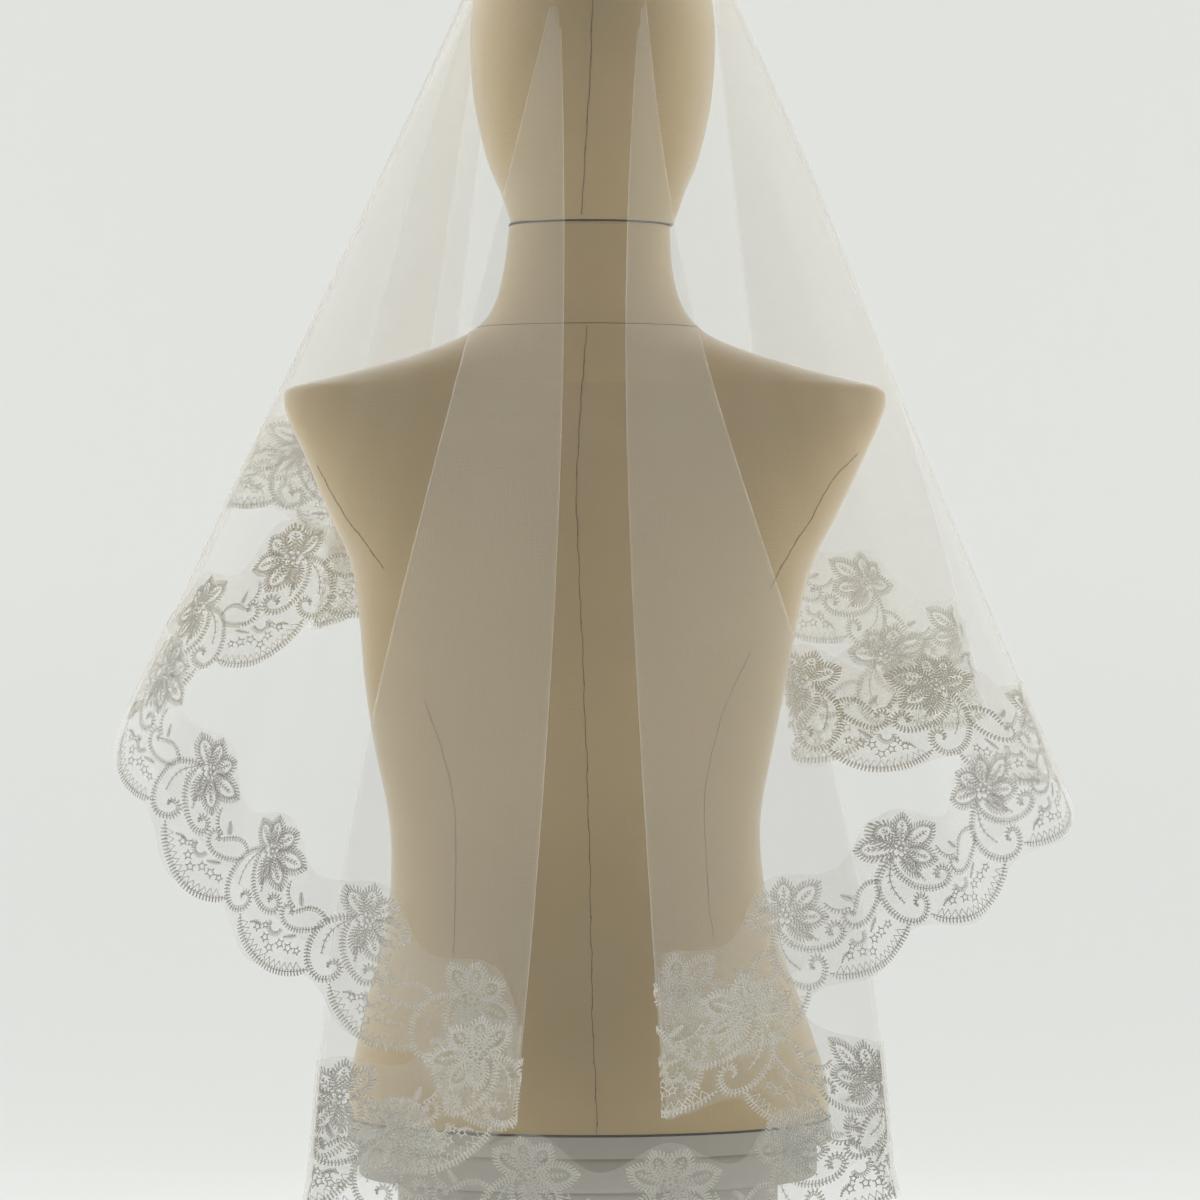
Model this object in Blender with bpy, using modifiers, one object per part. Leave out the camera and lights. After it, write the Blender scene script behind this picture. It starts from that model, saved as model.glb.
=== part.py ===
"""Bridal veil with a lace edging, laid over the head of a limbless dress form.

Metres, +Z up. The origin is on the plinth's underside, below the head. The form's back, with the veil's long
panel, faces -Y, and its left side here is -X. One oval sheet of tulle makes the veil: it lies smooth on the
head and hangs from it in straight folds. Each stretch of the sheet between two folds is a wall of its own,
and the lace edging lies on the outside of each.
"""

from collections import namedtuple
import math

import bpy
import numpy as np

# Cloth
WALL = 0.0010
SEAM_GAP = 0.0003
FIRST_LIFT = 0.0016  # from the head to the middle of the innermost layer
LAYER_PITCH = 0.0026  # from one layer to the next where they lie on the head
HEM_FOLD_RADIUS = 0.004  # of a fold's round turn at the hem
CUT_EDGE = 0.012  # the tulle ends this far above the lace's hem line
HANG_ROWS = np.array([0.0, 0.07, 0.20, 0.35, 0.50, 0.66, 0.83, 1.0])  # shares of the way down each stretch
BOW_SHAPE = 4 * HANG_ROWS * (1 - HANG_ROWS)
SWAY_SHAPE = np.sin(2 * math.pi * HANG_ROWS)
TURN_FACES = 4  # round each fold

# Lace edging
LACE_REPEATS = 34  # round the whole hem
LACE_TOP = 0.049  # above the hem line, between two domes
DOME_HEIGHT = 0.018
LACE_BOTTOM = 0.0065  # below the hem line, between two scallops
SCALLOP_DEPTH = 0.013
LACE_ROWS = 3
FACES_A_REPEAT = 6
FOLD_REPEAT = 0.075  # of the lace's repeat lies on each half of a fold's turn
LEAN_FROM = 0.7  # a line's lean is measured from this share of the way down it
EDGE_PASSES = 4  # to find where a leaning line meets the lace's shaped edges
DOME_PLACE = 0.78  # of the top of each dome, in repeats along the hem
SCALLOP_PLACE = 0.40  # of the bottom of each scallop, in repeats along the hem
LACE_STAND = WALL + SEAM_GAP + 0.0002  # from the middle of the tulle to the middle of the lace

# Head: an egg, given by its middle and its three half sizes
HEAD_MIDDLE = np.array([0.003, 0.0, 0.830])
HEAD_RADII = np.array([0.0785, 0.098, 0.113])
HEAD_JOINT_Z = 0.714

# Dress form
FORM_FACES = 28
FORM_ROWS = 26
NECK_TOP_Z = HEAD_JOINT_Z - SEAM_GAP
TORSO_BOTTOM_Z = 0.1303

# Base
CAP_BOTTOM_Z = 0.1075
PLINTH_TOP_Z = 0.1072
CAP_HALF_SIZE = (0.146, 0.092)
PLINTH_HALF_SIZE = (0.121, 0.080)
BASE_MIDDLE_Y = -0.010
BASE_FACES = 40
BASE_BEVEL = 0.004

# Colours
TULLE_WHITE = (0.93, 0.92, 0.89)
LACE_WHITE = (0.86, 0.86, 0.84)
CANVAS = (0.50, 0.44, 0.34)
BASE_GREY = (0.42, 0.40, 0.37)
TULLE_ROUGHNESS = 0.7
LACE_ROUGHNESS = 0.6
CANVAS_ROUGHNESS = 0.85
BASE_ROUGHNESS = 0.6

# One row for each level of the torso, from the base up: height, half width, sideways shift, depth to the
# front, depth to the back and, last, how far the bust stands out of the front.
Level = namedtuple("Level", "z half_width shift front back bust")
TORSO = [
    Level(0.1303, 0.154, 0.001, 0.088, 0.108, 0.0),
    Level(0.170, 0.1515, 0.000, 0.092, 0.112, 0.0),
    Level(0.220, 0.138, -0.003, 0.090, 0.104, 0.0),
    Level(0.258, 0.1255, -0.005, 0.084, 0.090, 0.0),
    Level(0.298, 0.119, -0.007, 0.078, 0.077, 0.0),
    Level(0.336, 0.119, -0.0085, 0.077, 0.072, 0.0),
    Level(0.378, 0.127, -0.009, 0.080, 0.076, 0.004),
    Level(0.420, 0.1345, -0.008, 0.084, 0.083, 0.018),
    Level(0.460, 0.140, -0.006, 0.086, 0.089, 0.034),
    Level(0.497, 0.1475, -0.004, 0.085, 0.093, 0.026),
    Level(0.530, 0.163, -0.003, 0.080, 0.092, 0.010),
    Level(0.567, 0.1795, -0.002, 0.072, 0.084, 0.0),
    Level(0.588, 0.189, -0.002, 0.064, 0.072, 0.0),
    Level(0.601, 0.1925, -0.002, 0.058, 0.064, 0.0),
    Level(0.6095, 0.189, -0.002, 0.055, 0.060, 0.0),
    Level(0.6150, 0.168, -0.002, 0.054, 0.060, 0.0),
    Level(0.6215, 0.142, -0.002, 0.053, 0.060, 0.0),
    Level(0.6300, 0.112, -0.001, 0.051, 0.059, 0.0),
    Level(0.6400, 0.085, -0.001, 0.050, 0.056, 0.0),
    Level(0.6500, 0.069, 0.000, 0.050, 0.053, 0.0),
    Level(0.6640, 0.0595, 0.000, 0.051, 0.049, 0.0),
    Level(0.6850, 0.0540, 0.000, 0.054, 0.046, 0.0),
    Level(0.7137, 0.0512, 0.001, 0.058, 0.044, 0.0),
]
BUST_SPREAD = 0.070  # from the middle to each side of the bust
BUST_WIDTH = 0.042

# One row for each level of the head above its joint: height, half width, depth to the front and to the back.
HeadLevel = namedtuple("HeadLevel", "z half_width front back")
HEAD = [
    HeadLevel(0.714, 0.0515, 0.068, 0.047),
    HeadLevel(0.722, 0.0545, 0.074, 0.055),
    HeadLevel(0.735, 0.0590, 0.080, 0.065),
    HeadLevel(0.755, 0.0672, 0.087, 0.078),
    HeadLevel(0.785, 0.0745, 0.0935, 0.0905),
    HeadLevel(0.810, 0.0775, 0.0970, 0.0965),
    HeadLevel(0.830, 0.0785, 0.0980, 0.0980),
]
HEAD_CROWN_ROWS = 7

# The hem's stations, in the order in which the hem runs: from the right edge of the back panel leftwards, round
# the front and back. Each has its place on the hem, the direction on the head that it hangs from in degrees, how
# far it stands off the head there, how its line bows to one side and sways to both, and the number of the lace's
# repeats up to it. A fold turns the sheet back on itself at its tip and at its root.
Station = namedtuple("Station", "name x y z top_deg off bow sway lace")
HEM = [
    Station("back_right_tip", 0.178, -0.190, 0.138, -68, 0, 0.002, -0.014, 0.16),
    Station("back_middle_right", 0.098, -0.207, 0.093, -77, 0, 0.001, -0.006, 1.26),
    Station("back_middle", 0.008, -0.212, 0.086, -86, 0, 0, 0, 2.23),
    Station("back_middle_left", -0.085, -0.206, 0.103, -96, 0, -0.009, 0.002, 3.32),
    Station("back_left_tip", -0.162, -0.190, 0.129, -105, 0, -0.017, 0.005, 4.38),
    Station("back_left_root", -0.048, -0.145, 0.161, -105, 0, 0.016, -0.005, 5.96),
    Station("shoulder_left", -0.157, -0.124, 0.241, -132, 0, 0.003, 0, 7.69),
    Station("elbow_left", -0.236, -0.084, 0.302, -158, 0.001, -0.008, 0, 9.13),
    Station("outline_left", -0.294, -0.004, 0.399, -180, 0, 0, 0, 10.74),
    Station("turn_left", -0.248, 0.074, 0.437, -190, 0, 0, 0, 11.95),
    Station("pleat_left_root_1", -0.130, 0.125, 0.490, -200, 0, 0, 0, 13.62),
    Station("pleat_left_tip_1", -0.179, 0.150, 0.474, -200, 0, -0.010, 0, 14.43),
    Station("pleat_left_root_2", -0.110, 0.168, 0.501, -220, 0, 0, 0, 15.50),
    Station("pleat_left_tip_2", -0.236, 0.174, 0.553, -220, 0, -0.004, 0, 17.33),
    Station("front_left", -0.152, 0.210, 0.529, -243, 0, 0, 0, 18.56),
    Station("front_middle", 0.000, 0.222, 0.512, -275, 0, 0, 0, 20.44),
    Station("front_right", 0.152, 0.202, 0.463, -312, 0.002, 0.008, 0, 22.41),
    Station("pleat_right_tip", 0.260, 0.146, 0.410, -347, 0.005, 0.018, 0, 24.10),
    Station("pleat_right_root", 0.140, 0.118, 0.379, -342, 0.005, 0, 0, 25.65),
    Station("turn_right", 0.250, 0.074, 0.376, -352, 0.007, 0, 0, 26.99),
    Station("outline_right", 0.304, 0.000, 0.354, -360, 0.010, 0, 0, 28.07),
    Station("elbow_right", 0.238, -0.074, 0.296, -384, 0.007, 0.006, 0, 29.34),
    Station("shoulder_right", 0.169, -0.114, 0.261, -407, 0.003, -0.005, 0, 30.46),
    Station("back_right_root", 0.047, -0.145, 0.180, -428, 0, -0.016, -0.003, 32.31),
    Station("back_right_under", 0.122, -0.166, 0.176, -428, 0, -0.007, -0.009, 33.27),
]

# The stretches of the sheet, in the same order: the stations they run between, and how many layers lie under
# each end where it rests on the head. An under layer is a fold's turned-back cloth.
Stretch = namedtuple("Stretch", "name start end layer_start layer_end under faces")
STRETCHES = [
    Stretch("back", "back_right_tip", "back_left_tip", 2, 2, False, 12),
    Stretch("back_fold_left", "back_left_tip", "back_left_root", 1, 1, True, 4),
    Stretch("side_left", "back_left_root", "outline_left", 0, 0, False, 11),
    Stretch("turn_left", "outline_left", "pleat_left_root_1", 0, 0, False, 7),
    Stretch("pleat_left_1", "pleat_left_root_1", "pleat_left_tip_1", 1, 1, True, 3),
    Stretch("pleat_left_2", "pleat_left_tip_1", "pleat_left_root_2", 2, 2, False, 4),
    Stretch("pleat_left_3", "pleat_left_root_2", "pleat_left_tip_2", 3, 3, True, 4),
    Stretch("front", "pleat_left_tip_2", "pleat_right_tip", 4, 2, False, 16),
    Stretch("pleat_right_1", "pleat_right_tip", "pleat_right_root", 1, 1, True, 4),
    Stretch("turn_right", "pleat_right_root", "outline_right", 0, 0, False, 7),
    Stretch("side_right", "outline_right", "back_right_root", 0, 0, False, 11),
    Stretch("back_fold_right", "back_right_root", "back_right_tip", 1, 1, True, 4),
]
UNDER_FIRST_ROW = 1  # an under layer begins at this row, below the point of the fold
CROWN_ROWS = 6
CROWN_FACES = 48
CROWN_GAP = 0.007  # radians on the head between the crown's rim and the stretches' tops

VEIL = "veil"
FORM = "dress_form"


def clear_scene():
    for thing in list(bpy.data.objects):
        bpy.data.objects.remove(thing)


def principled(name, colour, roughness):
    material = bpy.data.materials.new(name)
    material.use_nodes = True
    shader = material.node_tree.nodes["Principled BSDF"]
    shader.inputs["Base Color"].default_value = (*colour, 1.0)
    shader.inputs["Roughness"].default_value = roughness
    return material


def add_mesh(name, points, faces, collection, material):
    mesh = bpy.data.meshes.new(name)
    mesh.from_pydata([tuple(p) for p in points], [], faces)
    mesh.shade_smooth()
    mesh.materials.append(material)
    thing = bpy.data.objects.new(name, mesh)
    collection.objects.link(thing)
    return thing


def smooth_rows(rows, share):
    """Values read from a smooth curve through evenly numbered rows, at the given shares of its length.

    The first and last rows only say how the curve runs on past the second and the last but one.
    """
    rows = np.asarray(rows, float)
    faces = len(rows) - 3
    place = np.clip(np.asarray(share) * faces, 0, faces)
    low = np.minimum(place.astype(int), faces - 1)
    part = (place - low)[:, None]
    before = rows[low]
    start = rows[low + 1]
    end = rows[low + 2]
    after = rows[low + 3]
    bend = 2 * before - 5 * start + 4 * end - after
    twist = 3 * (start - end) + after - before
    return start + 0.5 * part * (end - before + part * (bend + part * twist))


def ring(half_width, front, back, middle_x, z, count, bust=0.0):
    """A closed oval ring, deeper or shallower in front than behind, with the bust's two rounds in front."""
    angle = np.linspace(0, 2 * math.pi, count, endpoint=False)
    side = np.cos(angle) * half_width
    depth = np.sin(angle) * np.where(np.sin(angle) > 0, front, back)
    rounds = np.exp(-(((np.abs(side) - BUST_SPREAD) / BUST_WIDTH) ** 2))
    depth += np.where(np.sin(angle) > 0, bust * rounds * np.sin(angle), 0)
    return np.stack([side + middle_x, depth, np.full(count, z)], axis=1)


def loft(name, rings, collection, material, pole=None):
    """A closed body through rings of equal count, flat below and flat or pointed above."""
    count = len(rings[0])
    points = np.concatenate(rings)
    faces = [tuple(reversed(range(count)))]
    for row in range(len(rings) - 1):
        for i in range(count):
            j = (i + 1) % count
            low = row * count
            faces.append((low + i, low + j, low + count + j, low + count + i))
    top = (len(rings) - 1) * count
    if pole is None:
        faces.append(tuple(range(top, top + count)))
    else:
        points = np.vstack([points, pole])
        faces += [(top + i, top + (i + 1) % count, len(points) - 1) for i in range(count)]
    return add_mesh(name, points, faces, collection, material)


def make_torso(collection, material):
    """The torso and neck: rings read from a smooth curve through the table's levels."""
    levels = smooth_rows([TORSO[0], *TORSO, TORSO[-1]], np.linspace(0, 1, FORM_ROWS + 1))
    rings = [ring(w, f, b, s, z, FORM_FACES, max(bust, 0)) for z, w, s, f, b, bust in levels]
    return loft("form_torso", rings, collection, material)


def make_head(collection, material):
    """The head: the table's levels below its widest, and the upper half of an egg above."""
    rings = [ring(lv.half_width, lv.front, lv.back, HEAD_MIDDLE[0], lv.z, FORM_FACES) for lv in HEAD]
    wide, deep, tall = HEAD_RADII
    for row in range(1, HEAD_CROWN_ROWS):
        angle = row / HEAD_CROWN_ROWS * math.pi / 2
        size = math.cos(angle)
        z = HEAD_MIDDLE[2] + tall * math.sin(angle)
        rings.append(ring(wide * size, deep * size, deep * size, HEAD_MIDDLE[0], z, FORM_FACES))
    pole = HEAD_MIDDLE + (0, 0, tall)
    return loft("form_head", rings, collection, material, pole)


def make_tier(name, half_size, low, high, collection, material):
    """One tier of the base: an upright oval disc with rounded edges."""
    bpy.ops.mesh.primitive_cylinder_add(vertices=BASE_FACES, radius=1.0, depth=high - low)
    tier = bpy.context.object
    tier.name = name
    for vertex in tier.data.vertices:
        vertex.co.x *= half_size[0]
        vertex.co.y = vertex.co.y * half_size[1] + BASE_MIDDLE_Y
        vertex.co.z += (low + high) / 2
    for other in list(tier.users_collection):
        other.objects.unlink(tier)
    collection.objects.link(tier)
    tier.data.materials.append(material)
    bevel = tier.modifiers.new("round_edges", "BEVEL")
    bevel.width = BASE_BEVEL
    bevel.segments = 2
    bevel.limit_method = "ANGLE"
    return tier


def station_index(name):
    return [station.name for station in HEM].index(name)


def station_value(number, name):
    """A value from the hem's table. Directions and repeats go on from one round of the hem to the next."""
    value = getattr(HEM[number % len(HEM)], name)
    rounds = number // len(HEM)
    return value + rounds * {"top_deg": -360, "lace": LACE_REPEATS}.get(name, 0)


def is_fold(station):
    return "tip" in station or "root" in station


def stations_of(stretch):
    """The numbers of the stretch's stations in the hem's table. Past the table's end they count on."""
    first = station_index(stretch.start)
    last = station_index(stretch.end)
    if last <= first:
        last += len(HEM)
    return list(range(first, last + 1))


def hem_curve(stretch, share, names):
    """The named values along the stretch, from a smooth curve that runs on past each end but a fold."""
    numbers = stations_of(stretch)
    numbers = [numbers[0] - 1, *numbers, numbers[-1] + 1]
    rows = np.array([[station_value(i, name) for name in names] for i in numbers])
    if is_fold(stretch.start):
        rows[0] = 2 * rows[1] - rows[2]
    if is_fold(stretch.end):
        rows[-1] = 2 * rows[-2] - rows[-3]
    return smooth_rows(rows, share)


def between(share, values):
    """Evenly spaced values, read straight between one and the next."""
    return np.interp(share, np.linspace(0, 1, len(values)), values)


def side_of_fold(stretch, at_start):
    """-1 or +1 for the layer of a fold that lies towards -Y or +Y there, and 0 where the sheet doesn't fold."""
    station = stretch.start if at_start else stretch.end
    if not is_fold(station):
        return 0
    layer = stretch.layer_start if at_start else stretch.layer_end
    other = neighbour(stretch, at_start)
    other_layer = other.layer_end if at_start else other.layer_start
    outer = layer > other_layer
    at_back = station.startswith("back")
    return -1 if outer == at_back else 1


def hang_lines(stretch, share):
    """Where each line of a stretch leaves the head, where it ends on the hem, its bow and its sway."""
    places = hem_curve(stretch, share, ("x", "y", "z"))
    swings = hem_curve(stretch, share, ("bow", "sway"))
    degrees = between(share, [station_value(i, "top_deg") for i in stations_of(stretch)])
    off = between(share, [station_value(i, "off") for i in stations_of(stretch)])
    first = side_of_fold(stretch, True)
    second = side_of_fold(stretch, False)
    places[:, 1] += HEM_FOLD_RADIUS * between(share, [first, second])
    layers = between(share, [stretch.layer_start, stretch.layer_end])
    lift = FIRST_LIFT + LAYER_PITCH * layers + off
    tops, rise = leaving_points(np.radians(degrees), places, HEAD_RADII + lift[:, None])
    return tops, places, swings, degrees, rise, lift


def leaving_points(direction, places, radii):
    """The point of the egg, in each direction, where a straight line to the hem touches it and leaves it.

    With the egg scaled to a unit ball, the point t and the hem's point h satisfy t.h = 1.
    """
    hem = (places - HEAD_MIDDLE) / radii
    along = hem[:, 0] * np.cos(direction) + hem[:, 1] * np.sin(direction)
    reach = np.hypot(along, hem[:, 2])
    rise = np.arctan2(hem[:, 2], along) + np.arccos(np.clip(1 / reach, -1, 1))
    return HEAD_MIDDLE + on_ball(direction, rise) * radii, rise


def on_ball(direction, rise):
    flat = np.cos(rise)
    return np.stack([flat * np.cos(direction), flat * np.sin(direction), np.sin(rise)], axis=-1)


def hang(stretch, share, down):
    """One line of a stretch's middle surface: its points at shares of the way down.

    It is straight between one row and the next. Its bow is one bend and its sway is two, each way in turn.
    """
    top, hem, swing = [values[0] for values in hang_lines(stretch, np.array([share]))[:3]]
    points = top + (hem - top) * down[:, None]
    points[:, 0] += swing[0] * np.interp(down, HANG_ROWS, BOW_SHAPE)
    points[:, 0] += swing[1] * np.interp(down, HANG_ROWS, SWAY_SHAPE)
    return points


def neighbour(stretch, at_start):
    index = STRETCHES.index(stretch)
    return STRETCHES[index - 1] if at_start else STRETCHES[(index + 1) % len(STRETCHES)]


def fold_sides(stretch, at_start, down):
    """The edge lines of the two layers at a fold, and +1 at a root or -1 at a tip."""
    own = hang(stretch, 0.0 if at_start else 1.0, down)
    other = hang(neighbour(stretch, at_start), 1.0 if at_start else 0.0, down)
    sign = 1 if "root" in (stretch.start if at_start else stretch.end) else -1
    return own, other, sign


def fold_normal(stretch, at_start, down):
    """The sheet's outer direction along its edge line at a fold."""
    own, other, sign = fold_sides(stretch, at_start, down)
    apart = (other - own) * sign
    return apart / np.linalg.norm(apart, axis=1)[:, None]


def turn(stretch, at_start, share, down, stand):
    """One line round a fold, on a half circle from one layer's edge line to the next one's.

    The half circle stops short of the neighbour by the seam's gap. What stands outside the sheet has a wider turn
    at a tip and a tighter one at a root.
    """
    own, other, sign = fold_sides(stretch, at_start, down)
    start, end = (other, own) if at_start else (own, other)
    middle = (start + end) / 2
    half = (start - end) / 2
    radius = np.linalg.norm(half[:, :2], axis=1)[:, None]
    trim = SEAM_GAP / radius
    angle = share * (math.pi - trim) + (trim if at_start else 0)
    across = -half[:, :2] / radius
    tip = np.stack([across[:, 1] * sign, -across[:, 0] * sign, np.zeros(len(down))], axis=1)
    return middle + (half / radius * np.cos(angle) + tip * np.sin(angle)) * (radius - sign * stand)


def lines_of(stretch, faces):
    """The lines of a stretch's grid: round its first fold, along it and round its last fold."""
    along = [("hang", share) for share in np.linspace(0, 1, faces + 1)]
    if not stretch.under:
        return along
    turned = np.linspace(0, 1, TURN_FACES + 1)
    return [("first", share) for share in turned[:-1]] + along + [("last", share) for share in turned[1:]]


def line_points(stretch, line, down, stand=0.0):
    kind, value = line
    if kind == "hang":
        return hang(stretch, value, down)
    return turn(stretch, kind == "first", value, down, stand)


def line_length(stretch, line):
    ends = line_points(stretch, line, np.array([0.0, 1.0]))
    return float(np.linalg.norm(ends[1] - ends[0]))


def tulle_grid(stretch):
    """The stretch's grid of points, from the head to the cut edge under the lace."""
    columns = []
    for line in lines_of(stretch, stretch.faces):
        bottom = 1 - CUT_EDGE / line_length(stretch, line)
        down = np.append(HANG_ROWS[UNDER_FIRST_ROW if stretch.under else 0:-1], bottom)
        columns.append(line_points(stretch, line, down))
    grid = np.stack(columns)
    return grid if stretch.under else trimmed(grid)


def trimmed(grid):
    """The grid with its first and last lines drawn in by the seam's gap."""
    grid = grid.copy()
    for edge, inner in ((0, 1), (-1, -2)):
        step = grid[inner] - grid[edge]
        grid[edge] += step / np.linalg.norm(step, axis=1)[:, None] * SEAM_GAP
    return grid


def hem_length(stretch):
    ends = [line_points(stretch, line, np.array([1.0]))[0] for line in lines_of(stretch, stretch.faces)]
    return np.linalg.norm(np.diff(ends, axis=0), axis=1).sum()


def repeats(stretch, line):
    """The number of the lace's repeats along the hem up to a line's end."""
    kind, value = line
    turned = between(value, [-FOLD_REPEAT, FOLD_REPEAT])
    if kind == "first":
        return station_value(stations_of(stretch)[0], "lace") + turned
    if kind == "last":
        return station_value(stations_of(stretch)[-1], "lace") + turned
    at_ends = [is_fold(stretch.start) * FOLD_REPEAT, -is_fold(stretch.end) * FOLD_REPEAT]
    return hem_curve(stretch, np.array([value]), ("lace",))[0, 0] + between(value, at_ends)


def lobes(place, middle):
    """A row of rounded lobes, one to a repeat: 0 halfway between two and 1 at the middle of each."""
    return 0.5 + 0.5 * np.cos(2 * math.pi * (place - middle))


def lean(stretch, lines):
    """The cosine of the angle that each line makes with the hem, going up it and on along the hem."""
    ends = np.stack([line_points(stretch, line, np.array([LEAN_FROM, 1.0])) for line in lines])
    up = ends[:, 0] - ends[:, 1]
    hem = run(ends, 0)[:, 1]
    return (up * hem).sum(axis=1) / np.linalg.norm(up, axis=1) / np.linalg.norm(hem, axis=1)


def lace_grid(stretch):
    """The lace's grid: between its domed top and its scalloped hem, and outside the tulle by its wall and gap.

    The lace is as wide square to the hem everywhere, so it goes further up a line that leans along the hem.
    """
    length = hem_length(stretch)
    places = [station_value(i, "lace") for i in stations_of(stretch)]
    repeat = length / (places[-1] - places[0])
    lines = lines_of(stretch, max(2, round(length / repeat * FACES_A_REPEAT)))
    places = np.array([repeats(stretch, line) for line in lines])
    cosine = lean(stretch, lines)
    sine = np.sqrt(1 - cosine**2)
    high = np.full(len(lines), LACE_TOP)
    low = np.full(len(lines), -LACE_BOTTOM)
    for _ in range(EDGE_PASSES):
        high = LACE_TOP + DOME_HEIGHT * lobes(places + high * cosine / sine / repeat, DOME_PLACE)
        low = -LACE_BOTTOM - SCALLOP_DEPTH * lobes(places + low * cosine / sine / repeat, SCALLOP_PLACE)
    lengths = np.array([line_length(stretch, line) for line in lines])
    down = 1 - np.linspace(high / sine / lengths, low / sine / lengths, LACE_ROWS + 1, axis=1)
    grid = np.stack([line_points(stretch, line, row, LACE_STAND) for line, row in zip(lines, down)])
    hung = np.array([kind == "hang" for kind, _ in lines])
    normals = outward(grid[hung])
    if is_fold(stretch.start):
        normals[0] = fold_normal(stretch, True, down[hung][0])
    if is_fold(stretch.end):
        normals[-1] = fold_normal(stretch, False, down[hung][-1])
    grid[hung] += normals * LACE_STAND
    return grid if stretch.under else trimmed(grid)


def outward(grid):
    """The sheet's outer direction at each point, square to its lines and to its rows."""
    normal = np.cross(run(grid, 0), run(grid, 1))
    return normal / np.linalg.norm(normal, axis=2)[:, :, None]


def run(grid, axis):
    """The way the grid runs at each point: halfway between the ways of the two edges that meet there."""
    steps = np.diff(grid, axis=axis)
    steps = steps / np.linalg.norm(steps, axis=2)[:, :, None]
    ends = [(0, 0)] * 3
    ends[axis] = (1, 1)
    doubled = np.pad(steps, ends, mode="edge")
    return doubled[1:] + doubled[:-1] if axis == 0 else doubled[:, 1:] + doubled[:, :-1]


def make_crown(collection, material):
    """The sheet on the head: part of an egg just outside it, with its rim just above where the stretches leave."""
    table = []
    for stretch in STRETCHES:
        if not stretch.under:
            _, _, _, degrees, rise, lift = hang_lines(stretch, np.linspace(0, 1, 4 * stretch.faces + 1))
            table += list(zip(degrees, rise, lift))
    table = np.array(sorted(table))
    direction, step = np.linspace(table[0, 0], table[-1, 0], CROWN_FACES, endpoint=False, retstep=True)
    apart = np.abs((table[:, 0] - direction[:, None] + 180) % 360 - 180)
    rise = np.where(apart < step, table[:, 1], -1).max(axis=1) + CROWN_GAP
    lift = np.interp(direction, table[:, 0], table[:, 2])
    points = [HEAD_MIDDLE + on_ball(0.0, math.pi / 2) * (HEAD_RADII + FIRST_LIFT)]
    for row in range(1, CROWN_ROWS + 1):
        part = row / CROWN_ROWS
        height = math.pi / 2 + (rise - math.pi / 2) * part
        raised = FIRST_LIFT + (lift - FIRST_LIFT) * part**3
        points += list(HEAD_MIDDLE + on_ball(np.radians(direction), height) * (HEAD_RADII + raised[:, None]))
    faces = [(0, 1 + i, 1 + (i + 1) % CROWN_FACES) for i in range(CROWN_FACES)]
    for row in range(CROWN_ROWS - 1):
        low = 1 + row * CROWN_FACES
        for i in range(CROWN_FACES):
            j = (i + 1) % CROWN_FACES
            faces.append((low + i, low + CROWN_FACES + i, low + CROWN_FACES + j, low + j))
    thicken(add_mesh("tulle_crown", points, faces, collection, material))


def grid_faces(columns, rows):
    faces = []
    for i in range(columns):
        for j in range(rows):
            a = i * (rows + 1) + j
            b = a + rows + 1
            faces.append((a, b, b + 1, a + 1))
    return faces


def wall(name, grid, collection, material):
    columns, rows = grid.shape[0] - 1, grid.shape[1] - 1
    thicken(add_mesh(name, grid.reshape(-1, 3), grid_faces(columns, rows), collection, material))


def thicken(sheet):
    """Makes an open surface a wall of cloth, with half its thickness on each side."""
    solidify = sheet.modifiers.new("cloth", "SOLIDIFY")
    solidify.thickness = WALL
    solidify.offset = 0
    solidify.use_even_offset = True


def make_tulle(collection, material):
    make_crown(collection, material)
    for stretch in STRETCHES:
        wall(f"tulle_{stretch.name}", tulle_grid(stretch), collection, material)


def make_lace(collection, material):
    for stretch in STRETCHES:
        wall(f"lace_{stretch.name}", lace_grid(stretch), collection, material)


def make_parts():
    clear_scene()
    collections = {}
    for name in (FORM, VEIL):
        collections[name] = bpy.data.collections.new(name)
        bpy.context.scene.collection.children.link(collections[name])
    form = collections[FORM]
    cap_top_z = TORSO_BOTTOM_Z - SEAM_GAP
    cap_grey = principled("base_grey", BASE_GREY, BASE_ROUGHNESS)
    plinth_grey = principled("plinth_grey", BASE_GREY, BASE_ROUGHNESS)
    make_torso(form, principled("canvas", CANVAS, CANVAS_ROUGHNESS))
    make_head(form, principled("head_canvas", CANVAS, CANVAS_ROUGHNESS))
    make_tier("form_cap", CAP_HALF_SIZE, CAP_BOTTOM_Z, cap_top_z, form, cap_grey)
    make_tier("form_plinth", PLINTH_HALF_SIZE, 0.0, PLINTH_TOP_Z, form, plinth_grey)
    make_tulle(collections[VEIL], principled("tulle", TULLE_WHITE, TULLE_ROUGHNESS))
    make_lace(collections[VEIL], principled("lace", LACE_WHITE, LACE_ROUGHNESS))


make_parts()
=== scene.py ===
"""Bridal veil of lace-edged tulle over a limbless dress form, built as an add-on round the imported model.

Metres, +Z up. The form's back, with the veil's long panel, faces -Y. The veil is one oval sheet. Its straight
lines run from the head to the hem, and the sheet is made in stretches between its folds.
"""

from collections import namedtuple
import math

import bpy
import numpy as np
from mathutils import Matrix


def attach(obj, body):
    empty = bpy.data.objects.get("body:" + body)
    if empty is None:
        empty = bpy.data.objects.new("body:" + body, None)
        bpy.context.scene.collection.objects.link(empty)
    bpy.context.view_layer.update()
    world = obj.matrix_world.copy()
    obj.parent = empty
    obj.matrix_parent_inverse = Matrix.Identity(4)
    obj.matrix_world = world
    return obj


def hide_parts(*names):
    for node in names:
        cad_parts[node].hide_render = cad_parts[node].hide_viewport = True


bl_info = {
    "name": "Bridal veil on a dress form",
    "version": (1, 0, 0),
    "blender": (4, 5, 0),
    "location": "3D View > Sidebar > Veil",
    "description": "Builds a lace-edged tulle veil, its dress form and a plain studio",
    "category": "Object",
}

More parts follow.
